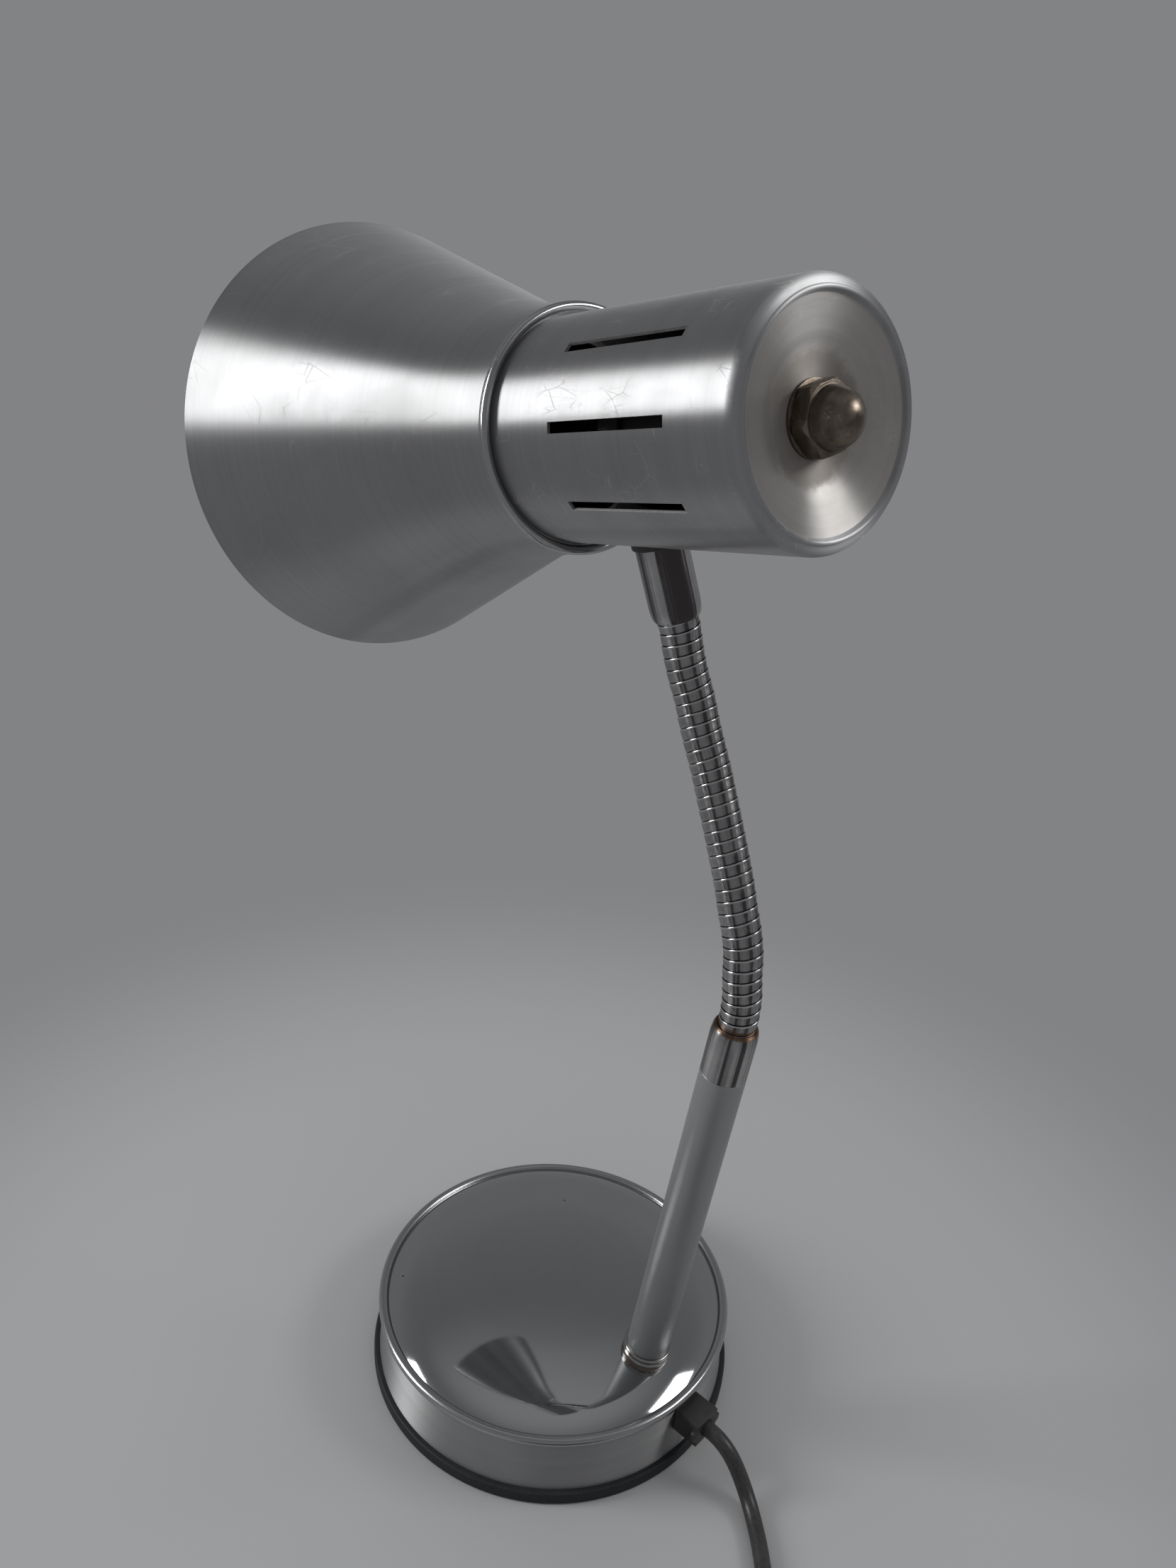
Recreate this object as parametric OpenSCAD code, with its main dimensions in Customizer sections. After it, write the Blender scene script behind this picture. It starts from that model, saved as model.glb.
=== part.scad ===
// Gooseneck desk lamp: a weighted round base, a leaning stem, a bendable metal neck made of
// cupped turns, and a trumpet shade on a slotted lamp housing. Millimetres, +Z up.
// Origin: middle of the base's underside. The shade looks towards -Y, the stem stands at +Y.

/* [Base] */
// Radius of the skirt at the outside of its rolled bead
base_r = 72.5; // [68:0.5:80]
// Radius of the rolled bead's own section
bead_r = 1.9; // [1.5:0.1:2.2]
// Height of the middle of the rolled bead
bead_z = 30; // [28:0.5:34]
// Sheet thickness of the skirt and the top plate
sheet_t = 1; // [0.8:0.1:1.4]
// How far the skirt draws in below its bead
skirt_waist = 1.8; // [1:0.1:2.5]
// Height of the domed top plate's middle above the bead's middle
dome_rise = 10; // [8.5:0.1:11.5]
// Radius of the top plate's nearly flat middle
dome_mid_r = 33; // [28:0.5:36]
// Slope where the nearly flat middle ends, in degrees
dome_mid_slope = 4.7; // [3:0.1:6]
// Slope where the top plate's shoulder begins, in degrees
dome_slope = 15; // [12:0.5:17]
// Width of the top plate's rounded shoulder
dome_shoulder = 9.8; // [8:0.2:12]
// Slope at the top plate's edge, in degrees
dome_edge_slope = 44; // [38:1:50]
// How far the rubber ring stands out past the skirt
ring_proud = 2.3; // [1.5:0.1:3]
// Height of the rubber ring
ring_h = 5.2; // [4:0.1:7]
// Thickness of the rubber under the bottom plate
ring_sole = 2; // [1.8:0.1:3]
// Thickness of the steel bottom plate
plate_t = 1.2; // [1:0.1:2]
// Thickness of the cast weight in the base
ballast_t = 15; // [10:0.5:16]
// Distance of the cast weight inside the bottom plate's edge
ballast_inset = 5; // [4:0.5:10]
// Distance of the screws inside the weight's edge
screw_inset = 19; // [14:0.5:26]

/* [Stem] */
// Outer radius of the stem tube
tube_r = 8; // [7.5:0.1:9]
// Wall of the stem tube
tube_wall = 1.1; // [0.8:0.1:1.4]
// Length of the stem tube above the top plate
tube_len = 145; // [110:1:180]
// Distance of the stem inside the base's outer edge
stem_inset = 22.6; // [20:0.1:27]
// Place of the stem round the base, in degrees from the rear
stem_turn = -6; // [-15:1:15]
// Backward lean of the stem in degrees
stem_lean = 6.7; // [3:0.1:8]
// Sideways lean of the stem in degrees
stem_side = 0.8; // [-2:0.1:2]
// Height of the collar round the foot of the stem
collar_h = 5; // [4:0.1:7]
// Wall of the collar
collar_wall = 1.3; // [1:0.1:2]
// Length of each chrome ferrule
ferrule_len = 20; // [18:0.5:24]
// Extra length of the ferrule under the lamp housing
upper_extra = 3.6; // [0:0.1:6]
// Height of the ferrule's drawn-in mouth
mouth_h = 5.5; // [4:0.1:7]

/* [Neck] */
// Outer radius of a turn's lip
neck_r = 6.5; // [6.2:0.1:7]
// Height of one turn
turn_h = 3.74; // [3.5:0.01:4.2]
// Thickness of a turn's lip
lip_t = 0.4; // [0.35:0.01:0.5]
// Running clearance of a link in the cup below it
cup_gap = 0.1; // [0.06:0.01:0.14]
// Wall of a link inside its ball
link_wall = 1; // [0.8:0.05:1.2]
// Largest bend of one joint in degrees
max_bend = 11.5; // [9:0.1:12]

/* [Head] */
// Outer radius of the lamp housing
house_r = 32.6; // [30:0.1:34]
// Length of the housing behind the neck
house_back = 72; // [66:0.5:80]
// Length of the housing in front of the neck
house_front = 36; // [30:0.5:40]
// Sheet thickness of the housing and the shade
head_t = 0.9; // [0.7:0.05:1.2]
// Radius of the housing's rounded rear corner
corner_r = 2.4; // [1.5:0.1:3]
// Depth of the dished rear end
dish_depth = 5; // [3:0.1:6]
// Radius of the flat seat in the middle of the dish
dish_seat = 10.5; // [10:0.1:12]
// Length of a cooling slot
slot_len = 46; // [36:1:54]
// Width of a cooling slot
slot_w = 3; // [2:0.1:4]
// Distance of the slots' middle behind the neck
slot_mid = 25.5; // [20:0.5:34]
// Angle between neighbouring slots in degrees
slot_step = 38.6; // [32:0.2:42]
// Angle of the highest slots from the top in degrees
slot_first = 35; // [25:1:40]
// Radius of the shade's mouth
mouth_r = 75.8; // [65:0.1:85]
// Distance of the shade's mouth in front of the neck
mouth_front = 146.4; // [135:0.2:155]
// Radius of the shade's narrow end
shade_neck_r = 36.2; // [35.6:0.1:38]
// Distance of the shade's narrow end in front of the neck
shade_back = 22.6; // [18:0.1:26]
// Radius of the sweep between the shade's cone and its narrow end
sweep_r = 95; // [60:1:110]
// Turn of the head on its ferrule in degrees
head_turn = -16.5; // [-45:0.5:45]

/* [Lampholder and bulb] */
// Outer radius of the lampholder
holder_r = 19; // [18:0.1:21]
// Length of the lampholder's barrel
holder_len = 42; // [38:0.5:46]
// Distance of the lampholder's mouth behind the neck
holder_front = 9; // [7:0.5:12]
// Radius of the bulb
bulb_r = 27.5; // [24:0.5:28]
// Distance of the bulb's widest place in front of the neck
bulb_front = 37; // [34:0.5:42]
// Radius of the acorn nut's dome
acorn_r = 8.3; // [7.5:0.1:9]
// Height of the acorn nut
acorn_h = 13; // [11:0.1:15]

/* [Cord] */
// Diameter of the mains cord
cord_d = 6; // [5.5:0.1:6.5]
// Width of the strain relief block
gland_w = 12.2; // [11:0.1:14]
// Height of the strain relief block
gland_h = 10.4; // [9.6:0.1:12]
// How far the block stands out of the skirt
gland_out = 9.4; // [7:0.1:11]
// Height of the middle of the block
gland_z = 20.4; // [18:0.1:21]
// Turn of the block round the base from the stem's side in degrees
gland_turn = -5; // [-15:1:15]
// Length of the switch on the cord
switch_len = 58; // [50:1:66]
// Width of the switch
switch_w = 25; // [22:0.5:30]
// Height of the switch
switch_h = 17; // [15:0.5:20]
// Radius of the coil at the middle of its turns
coil_r = 32.4; // [30:0.2:36]
// Width of the coil's bundle of turns
coil_w = 28.2; // [24:0.2:30]
// Height of the coil's bundle of turns
coil_h = 12.6; // [12:0.2:14]
// Width of the plug
plug_w = 26; // [24:0.5:30]
// Length of the plug's body
plug_len = 35; // [32:0.5:40]
// Thickness of the plug
plug_t = 14; // [12:0.5:15]

/* [Hidden] */
LINKS = ["neck_link_01", "neck_link_02", "neck_link_03", "neck_link_04", "neck_link_05",
    "neck_link_06", "neck_link_07", "neck_link_08", "neck_link_09", "neck_link_10", "neck_link_11",
    "neck_link_12", "neck_link_13", "neck_link_14", "neck_link_15", "neck_link_16", "neck_link_17"];
$fn = 96;

steel = "#8d9196";
alu = "#b9bcc0";
chrome = "#c9ccd1";
black = "#1c1d20";
brass = "#a08a5a";

seat_gap = 0.1;      // clearance of parts that seat in one another
screw_r = 2;         // thread radius of the base screws
screw_count = 3;
nut_h = 5;           // height of the stem's hexagon nut
thread_r = 5;        // radius of the threaded nipple and stud
hole_gap = 0.2;      // clearance of a hole round a thread

// ---- base: heights and radii that follow from the driving sizes
bead_mid = base_r - bead_r;                 // radius of the bead's centre line
dome_z = bead_z + dome_rise;                // middle of the polished plate
dome_r = bead_mid - bead_r - 0.4;           // outer radius of the plate, inside the bead
skirt_foot = ring_sole + 0.4;               // the skirt's edge, in the rubber ring's channel
skirt_r = base_r - 0.5;                     // skirt radius at its foot
ring_r = skirt_r + ring_proud;
plate_z = ring_sole;
plate_r = skirt_r - 3 * sheet_t;
sole_r = plate_r - 8;                       // inner radius of the rubber ring
ballast_z = plate_z + plate_t;
ballast_r = plate_r - ballast_inset;
screw_circle = ballast_r - screw_inset;
stem_r = base_r - stem_inset;               // distance of the stem from the base's middle
stem_notch_r = tube_r + 9;                  // room round the stem's nut in the weight

// Points along an arc round a centre, from one angle to another
function arc(c, r, a0, a1, n) =
    [for (i = [0 : n]) let (a = a0 + (a1 - a0) * i / n) [c[0] + r * cos(a), c[1] + r * sin(a)]];
// A point list in reverse order
function flip(p) = [for (i = [len(p) - 1 : -1 : 0]) p[i]];

// The top plate's outline is three arcs that run into each other: middle, flank and shoulder
mid_R = dome_mid_r / sin(dome_mid_slope);
mid_c = [0, dome_z - mid_R];
flank_R = (dome_r - dome_shoulder - dome_mid_r) / (sin(dome_slope) - sin(dome_mid_slope));
flank_c = mid_c + (mid_R - flank_R) * [sin(dome_mid_slope), cos(dome_mid_slope)];
rim_R = dome_shoulder / (sin(dome_edge_slope) - sin(dome_slope));
rim_c = flank_c + (flank_R - rim_R) * [sin(dome_slope), cos(dome_slope)];
// Points of that outline, d inside the plate's upper face, from the middle to the edge
function crown(d) = concat([[0, dome_z - d]],
    arc(mid_c, mid_R - d, 90 - dome_mid_slope / 4, 90 - dome_mid_slope, 3),
    arc(flank_c, flank_R - d, 90 - dome_mid_slope - (dome_slope - dome_mid_slope) / 8,
        90 - dome_slope, 7),
    arc(rim_c, rim_R - d, 90 - dome_slope - (dome_edge_slope - dome_slope) / 8,
        90 - dome_edge_slope, 7));
// Space under that outline
module under_crown(d) rotate_extrude($fn = 128) polygon(concat(crown(d),
    [[crown(d)[len(crown(d)) - 1][0], 0], [0, 0]]));
ledge_z = rim_c[1] + (rim_R - sheet_t) * cos(dome_edge_slope) - seat_gap; // under the plate
ledge_r = dome_r - 3.5;
// Height of the plate's upper face at the stem
stem_z = stem_r < dome_mid_r ? mid_c[1] + sqrt(pow(mid_R, 2) - pow(stem_r, 2))
    : flank_c[1] + sqrt(pow(flank_R, 2) - pow(stem_r - flank_c[0], 2));

// ---- stem and neck frames
module at_stem() {
    rotate([0, 0, stem_turn]) translate([0, stem_r, stem_z]) rotate([0, 0, -stem_turn])
        rotate([-stem_lean, 0, 0]) rotate([0, stem_side, 0]) children();
}
stem_top = tube_len + ferrule_len;          // the lower ferrule's mouth, along the stem
link_h = 2 * turn_h;                        // a link is two turns
joint_count = len(LINKS) + 1;
// Bends at rest, degrees: two fore-and-aft joints, then one sideways joint, six times over
fore_bend = [6.6, 7.6, 7.6, 6, 2.7, 1.2, 0.6, 0.1, -1.2, -2.3, -3.8, -4.3];
side_bend = [-4.3, -2.9, 0.3, 4, 6.6, 7.7];
function is_side(i) = i % 3 == 2;
function bend(i) = is_side(i)
    ? [0, side_bend[floor(i / 3)], 0]
    : [fore_bend[2 * floor(i / 3) + i % 3], 0, 0];

// Frame of joint i: its pivot, turned with the link above it
module at_joint(i) {
    if (i == 0)
        at_stem() translate([0, 0, stem_top + turn_h]) rotate(bend(0)) children();
    else
        at_joint(i - 1) translate([0, 0, link_h]) rotate(bend(i)) children();
}
// Frame of the head: the mouth of the upper ferrule, with the lamp axis along +Y
module at_head() {
    at_joint(joint_count - 1) translate([0, 0, turn_h]) rotate([0, 0, head_turn]) children();
}
upper_len = ferrule_len + upper_extra;
washer_t = 0.9;                             // neck washer at its thinnest
axis_z = upper_len + washer_t + house_r;    // lamp axis above the upper ferrule's mouth
// Frame of the lamp axis: Z runs back along the axis, from the neck's middle
module at_axis() {
    at_head() translate([0, 0, axis_z]) rotate([-90, 0, 0]) children();
}

// ---- base
wall_foot = ring_h + 0.6;                   // where the skirt starts to draw in
// Drawn-in wall of the skirt, from its foot to the height top, d inside the outer side
function wall_side(d, top) = [for (i = [0 : 8]) let (u = i / 8)
    [skirt_r - d - skirt_waist * sin(90 * u) * (1 - 0.25 * u * u),
        wall_foot + (top - wall_foot) * u]];
wall_top = bead_z - bead_r - 1;
module base_skirt() color(alu) difference() {
    rotate_extrude($fn = 128) polygon(concat(
        [[skirt_r - sheet_t, skirt_foot], [skirt_r, skirt_foot]],
        wall_side(0, wall_top),
        arc([bead_mid, bead_z], bead_r, -50, 180, 14),
        // ledge for the top plate
        [[bead_mid - bead_r, ledge_z], [ledge_r, ledge_z], [ledge_r, ledge_z - sheet_t],
            [bead_mid - bead_r, ledge_z - sheet_t]],
        flip(wall_side(sheet_t, ledge_z - sheet_t - 0.9))));
    gland_neck(seat_gap);
}

module base_dome() color(chrome) difference() {
    rotate_extrude($fn = 128) polygon(concat(crown(0), flip(crown(sheet_t))));
    at_stem() translate([0, 0, -10]) cylinder(h = 20, r = tube_r + seat_gap);
}

module base_ring() color(black) rotate_extrude($fn = 128) polygon(concat(
    [[sole_r, 0], [ring_r - 0.8, 0]],
    arc([ring_r - 0.8, 0.8], 0.8, -60, 0, 3),
    arc([ring_r - 1, ring_h - 1], 1, 0, 90, 5),
    [[skirt_r + seat_gap, ring_h], [skirt_r + seat_gap, skirt_foot - seat_gap],
        [skirt_r - sheet_t - seat_gap, skirt_foot - seat_gap],
        [skirt_r - sheet_t - seat_gap, ring_sole + plate_t + 1],
        [plate_r + seat_gap, ring_sole + plate_t + 1],
        [plate_r + seat_gap, ring_sole], [sole_r, ring_sole]]));

// Rubber sole inside the ring: the face that the lamp stands on
module base_pad() color(black) difference() {
    cylinder(h = ring_sole, r = sole_r - seat_gap, $fn = 128);
    screw_places() translate([0, 0, -1]) cylinder(h = ring_sole + 2, r = screw_head_r + hole_gap);
}

module screw_places() for (i = [0 : screw_count - 1])
    rotate([0, 0, 360 * i / screw_count - 90]) translate([screw_circle, 0, 0]) children();

module bottom_plate() color(steel) difference() {
    translate([0, 0, plate_z]) cylinder(h = plate_t, r = plate_r, $fn = 128);
    screw_places() translate([0, 0, plate_z - 1]) cylinder(h = plate_t + 2, r = screw_r + hole_gap);
}

screw_head_h = 1.4;
screw_head_r = 1.9 * screw_r;
screw_depth = 10;
module plate_screws() color(steel) screw_places() difference() {
    union() {
        translate([0, 0, plate_z - screw_head_h]) cylinder(h = screw_head_h, r = screw_head_r);
        translate([0, 0, plate_z - 0.2]) cylinder(h = plate_t + screw_depth, r = screw_r);
    }
    for (a = [0, 90]) rotate([0, 0, a])
        translate([-screw_r, -0.3, plate_z - screw_head_h - 1]) cube([2 * screw_r, 0.6, 1.7]);
}

module ballast_weight() color("#4a4c50") difference() {
    translate([0, 0, ballast_z]) rotate_extrude($fn = 128) polygon([[0, 0], [ballast_r, 0],
        [ballast_r, ballast_t - 3], [ballast_r - 3, ballast_t], [0, ballast_t]]);
    // slot from the rear edge to the stem, for its nut and the cord
    rotate([0, 0, stem_turn]) translate([0, stem_r, ballast_z - 1]) {
        cylinder(h = ballast_t + 2, r = stem_notch_r);
        translate([-stem_notch_r, 0, 0]) cube([2 * stem_notch_r, ballast_r, ballast_t + 2]);
    }
    screw_places() translate([0, 0, ballast_z - 1])
        cylinder(h = screw_depth + 2, r = screw_r + seat_gap / 2);
}

// ---- stem
tube_below = 11;                            // the tube's threaded end under the top plate
module stem_collar() color(chrome) difference() {
    at_stem() rotate_extrude() polygon(concat(
        [[tube_r + seat_gap / 2, -3], [tube_r + collar_wall - 0.3, -3],
            [tube_r + collar_wall - 0.3, collar_h * 0.2]],
        arc([tube_r + collar_wall - 0.6, collar_h * 0.38], 0.6, -70, 70, 6),
        arc([tube_r + collar_wall - 0.7, collar_h - 0.7], 0.7, -60, 100, 7),
        [[tube_r + seat_gap / 2, collar_h]]));
    under_crown(-seat_gap / 2);
}

module stem_tube() color(alu) at_stem() difference() {
    translate([0, 0, -tube_below]) cylinder(h = tube_len + tube_below, r = tube_r);
    translate([0, 0, -tube_below - 1])
        cylinder(h = tube_len + tube_below + 2, r = tube_r - tube_wall);
}

stem_washer_z = 2.6;                        // the wedge washer's lower face below the plate
// Washer whose upper face follows the plate's underside, because the stem leans
module stem_washer() color(steel) intersection() {
    at_stem() translate([0, 0, -stem_washer_z - sheet_t]) difference() {
        cylinder(h = 6, r = tube_r + 5.5);
        translate([0, 0, -1]) cylinder(h = 8, r = tube_r + seat_gap);
    }
    under_crown(sheet_t + seat_gap);
}

module stem_nut() color(steel) at_stem() translate([0, 0, -stem_washer_z - sheet_t - nut_h])
    difference() {
        cylinder(h = nut_h, r = tube_r + 5, $fn = 6);
        translate([0, 0, -1]) cylinder(h = nut_h + 2, r = tube_r + seat_gap / 2);
    }

// Ferrule: a spigot, a straight barrel, and a mouth drawn in to the neck. Z = 0 is its mouth,
// and the barrel lies below.
ferrule_bore = 5.2;
ring_seat = 8;                              // length of a neck end ring held in a ferrule
mouth_rim = 0.5;
module ferrule(len, spigot_r, spigot_len) difference() {
    rotate_extrude() polygon(concat(
        [[0, -len - spigot_len], [spigot_r, -len - spigot_len], [spigot_r, -len], [tube_r, -len],
            [tube_r, -mouth_h]],
        // drawn-in shoulder
        [for (i = [1 : 8]) let (a = 90 * i / 8)
            [neck_r + mouth_rim + (tube_r - neck_r - mouth_rim) * cos(a),
                -mouth_h + (mouth_h - 0.3) * sin(a)]],
        [[neck_r + mouth_rim - 0.2, 0], [0, 0]]));
    translate([0, 0, -len - spigot_len - 1]) cylinder(h = len + spigot_len + 2, r = ferrule_bore);
    translate([0, 0, -ring_seat]) cylinder(h = ring_seat + 1, r = neck_r - 0.1);
}

module lower_ferrule() color(chrome) at_stem() translate([0, 0, stem_top])
    ferrule(ferrule_len, tube_r - tube_wall - seat_gap / 2, 14);

// ---- neck
ball_r = neck_r - lip_t - cup_gap;          // radius of the ball zone at a link's foot
cup_r = neck_r - lip_t;                     // radius of the cup that holds it
ball_low = -1.3;                            // the ball zone's lower edge below the pivot
band_low = neck_r * tan(max_bend) + 0.1;    // where the band starts, clear of the cup below
band_foot = 0.3;                            // how much narrower the band is at its foot
bore_r = ball_r - link_wall;
cup_deep = -(ball_low - ball_r * sin(max_bend)) + 0.1;

// Outline of a turn's outer side, from its foot at z0 to its lip at z1
function turn_side(z0, z1) = concat([[neck_r - band_foot, z0]],
    [[neck_r - 0.06, z1 - 0.75]], arc([neck_r - 0.3, z1 - 0.3], 0.3, 0, 70, 4));
// Outline of a turn's foot, tucked in behind the lip below it
function turn_tuck(z) = [[neck_r - band_foot - 0.25, z], [neck_r - band_foot - 0.25, z + 0.35]];
// Ball zone round the pivot, from its lower edge up to the band
function ball_side() = let (a0 = asin(ball_low / ball_r), a1 = asin(band_low / ball_r))
    arc([0, 0], ball_r, a0, a1, 6);
// Cup round the pivot at height z, from its rim down
function cup_side(z) = let (a1 = asin(-cup_deep / cup_r)) arc([0, z], cup_r, 0, a1, 6);

// A link: ball zone, two turns and the cup for the next link
module link_solid() rotate_extrude($fn = 64) polygon(concat(
    [[bore_r, ball_low]],
    ball_side(),
    turn_side(band_low, turn_h),
    turn_tuck(turn_h),
    turn_side(turn_h + 0.5, link_h),
    cup_side(link_h),
    [[bore_r, link_h - cup_deep - 0.3]]));

module neck_link(i) color(chrome) at_joint(i) link_solid();

module neck_foot_ring() color(chrome) at_stem() translate([0, 0, stem_top])
    rotate_extrude($fn = 64) polygon(concat(
        [[bore_r, -ring_seat + 0.3], [neck_r - 0.15, -ring_seat + 0.3], [neck_r - 0.15, 0]],
        turn_side(0.5, turn_h),
        cup_side(turn_h),
        [[bore_r, turn_h - cup_deep - 0.3]]));

module neck_top_ring() color(chrome) at_joint(joint_count - 1)
    rotate_extrude($fn = 64) polygon(concat(
        [[bore_r, ball_low]],
        ball_side(),
        [[neck_r - band_foot, band_low], [neck_r - 0.15, turn_h - 0.6],
            [neck_r - 0.15, turn_h + ring_seat - 0.3], [bore_r, turn_h + ring_seat - 0.3]]));

module upper_ferrule() color(chrome) at_head() rotate([180, 0, 0]) difference() {
    ferrule(upper_len, tube_r, 0);
    translate([0, 0, -upper_len - 1]) cylinder(h = 13, r = thread_r + seat_gap / 2);
}

// ---- housing and shade
// Washer cut to the housing's round underside
module neck_washer() color(black) difference() {
    at_head() translate([0, 0, upper_len]) cylinder(h = 4, r = tube_r + 0.8);
    at_head() translate([0, 0, upper_len - 1]) cylinder(h = 6, r = thread_r + seat_gap);
    at_axis() translate([0, 0, -30]) cylinder(h = 60, r = house_r + 0.05, $fn = 128);
}

nipple_up = 7;                              // the nipple's length inside the housing
nipple_down = 11;
module neck_nipple() color(brass) at_head()
    translate([0, 0, upper_len - nipple_down]) difference() {
        cylinder(h = nipple_down + washer_t + nipple_up, r = thread_r);
        translate([0, 0, -1])
            cylinder(h = nipple_down + washer_t + nipple_up + 2, r = thread_r - 1.4);
    }

module nipple_nut() color(brass) intersection() {
    at_head() translate([0, 0, axis_z - house_r]) difference() {
        cylinder(h = head_t + 4.5, r = thread_r + 3.2, $fn = 6);
        translate([0, 0, -1]) cylinder(h = head_t + 7, r = thread_r + seat_gap / 2);
    }
    at_axis() translate([0, 0, -30]) cylinder(h = 60, r = house_r - head_t - 0.05, $fn = 128);
}

ridge_r = house_r - corner_r - 0.4;         // raised step round the dish
rear_z = house_back - 0.9;                  // the corner's end, just under the step's crest
// Half section of the housing's outer side, from the front edge to the dish's seat
function housing_outer() = concat([[house_r, -house_front]],
    arc([house_r - corner_r, rear_z - corner_r], corner_r, 0, 84, 6),
    arc([ridge_r - 0.7, rear_z], 0.7, 20, 160, 6),
    [[ridge_r - 1.9, rear_z - 0.5], [dish_seat + 4, rear_z - dish_depth + 1.1],
        [dish_seat, rear_z - dish_depth], [thread_r + hole_gap, rear_z - dish_depth]]);
function housing_inner() = concat([[house_r - head_t, -house_front]],
    arc([house_r - corner_r, rear_z - corner_r], corner_r - head_t, 0, 80, 4),
    [[ridge_r - 1.9, rear_z - 0.5 - head_t],
        [dish_seat + 4, rear_z - dish_depth + 1.1 - head_t],
        [dish_seat, rear_z - dish_depth - head_t],
        [thread_r + hole_gap, rear_z - dish_depth - head_t]]);

// Cooling slots: three on each side, with square ends
module slots() for (side = [-1, 1], i = [0 : 2])
    rotate([0, 0, -90 + side * (slot_first + slot_step * i)])
        translate([house_r - 5, -slot_w / 2, slot_mid - slot_len / 2])
            cube([10, slot_w, slot_len]);

module housing() color(alu) difference() {
    at_axis() rotate_extrude($fn = 128) polygon(concat(housing_outer(), flip(housing_inner())));
    at_axis() slots();
    at_head() translate([0, 0, axis_z - house_r - 2]) cylinder(h = 8, r = thread_r + seat_gap);
}

// The shade's narrow end runs along the axis, then a wide sweep turns it into a straight cone
// that ends at the mouth
shade_rim = 1;
shade_collar = 1.65;                        // straight length before the sweep starts
sweep_from = shade_back + shade_collar;
sweep_out = mouth_r - shade_neck_r - sweep_r;
sweep_run = mouth_front - sweep_from;
cone_tilt = asin(sweep_r / norm([sweep_out, sweep_run])) + atan2(sweep_out, sweep_run);
function shade_side(off) = concat(
    arc([shade_neck_r + sweep_r, -sweep_from], sweep_r + off, 180, 180 + cone_tilt, 10),
    [[mouth_r - off, -mouth_front]]);
shade_bead_r = 1.4;
shade_grip = 9;                             // length of the shade's sleeve on the housing
sleeve_r = house_r + seat_gap;
module shade() color(alu) at_axis() rotate_extrude($fn = 128) polygon(concat(
    // outer side from the bead to the mouth
    flip(arc([shade_neck_r - shade_bead_r + 0.5, -shade_back - shade_bead_r],
        shade_bead_r, -60, 90, 8)),
    shade_side(0),
    // rolled edge of the mouth, then back along the inner side
    [[mouth_r - head_t / 4, -mouth_front - shade_rim / 2], [mouth_r - head_t, -mouth_front]],
    flip(shade_side(head_t)),
    [[shade_neck_r - head_t, -shade_back - 2 * shade_bead_r],
        [sleeve_r + head_t, -shade_back - 2 * shade_bead_r],
        [sleeve_r + head_t, -shade_back - shade_grip], [sleeve_r, -shade_back - shade_grip],
        [sleeve_r, -shade_back]]));

// ---- lampholder, stud and bulb
seat_z = rear_z - dish_depth;               // outer face of the dish's flat seat
holder_back = holder_front + holder_len;
holder_wall = 4;
holder_floor = 5;                           // solid back wall of the barrel
shell_in = 6;                               // how far the threaded sleeve sits inside the barrel
shell_floor = 2;
module holder_barrel() color(black) at_axis() difference() {
    translate([0, 0, holder_front]) cylinder(h = holder_len, r = holder_r);
    translate([0, 0, holder_front - 1])
        cylinder(h = holder_len - holder_floor + 1, r = holder_r - holder_wall);
    translate([0, 0, holder_back - holder_floor - 3])
        cylinder(h = holder_floor + 5, r = thread_r);
}
// Threaded sleeve that the bulb screws into
shell_len = holder_len - holder_floor - shell_in;
module holder_shell() color(brass) at_axis() translate([0, 0, holder_front + shell_in])
    difference() {
        cylinder(h = shell_len, r = holder_r - holder_wall - seat_gap);
        translate([0, 0, -1]) cylinder(h = shell_len - shell_floor + 1, r = cap_r + hole_gap);
    }
module holder_ring() color(black) at_axis() translate([0, 0, holder_front + 1]) difference() {
    rotate_extrude() polygon([[holder_r + seat_gap, 0], [holder_r + 2.4, 0], [holder_r + 3.2, 1],
        [holder_r + 3.2, 5], [holder_r + 1.6, 7], [holder_r + seat_gap, 7]]);
    for (i = [0 : 11]) rotate([0, 0, 30 * i]) translate([holder_r + 4, 0, -1])
        cylinder(h = 9, r = 1.3, $fn = 24);
}
cap_h = 4;
module holder_cap() color(black) at_axis() translate([0, 0, holder_back]) difference() {
    cylinder(h = cap_h, r = holder_r - 1);
    translate([0, 0, -1]) cylinder(h = cap_h + 2, r = thread_r + seat_gap / 2);
}
stud_from = holder_back - holder_floor + 1; // the hollow stud, from the barrel's back wall
stud_to = seat_z + 9;                       // into the acorn nut
module holder_stud() color(steel) at_axis() difference() {
    translate([0, 0, stud_from]) cylinder(h = stud_to - stud_from, r = thread_r - 0.05);
    translate([0, 0, stud_from - 1]) cylinder(h = stud_to - stud_from + 2, r = thread_r - 1.6);
}
stud_nut_h = 3.6;
inner_washer_t = 1;
module stud_nut() color(steel) at_axis()
    translate([0, 0, seat_z - head_t - inner_washer_t - stud_nut_h]) difference() {
        cylinder(h = stud_nut_h, r = thread_r + 3, $fn = 6);
        translate([0, 0, -1]) cylinder(h = stud_nut_h + 2, r = thread_r);
    }
module stud_washer() color(steel) at_axis()
    translate([0, 0, seat_z - head_t - inner_washer_t]) difference() {
        cylinder(h = inner_washer_t, r = thread_r + 4.5);
        translate([0, 0, -1]) cylinder(h = inner_washer_t + 2, r = thread_r + hole_gap);
    }
acorn_washer_t = 1;
module acorn_washer() color(brass) at_axis() translate([0, 0, seat_z]) difference() {
    cylinder(h = acorn_washer_t, r = acorn_r + 1.2);
    translate([0, 0, -1]) cylinder(h = acorn_washer_t + 2, r = thread_r + hole_gap);
}
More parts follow.
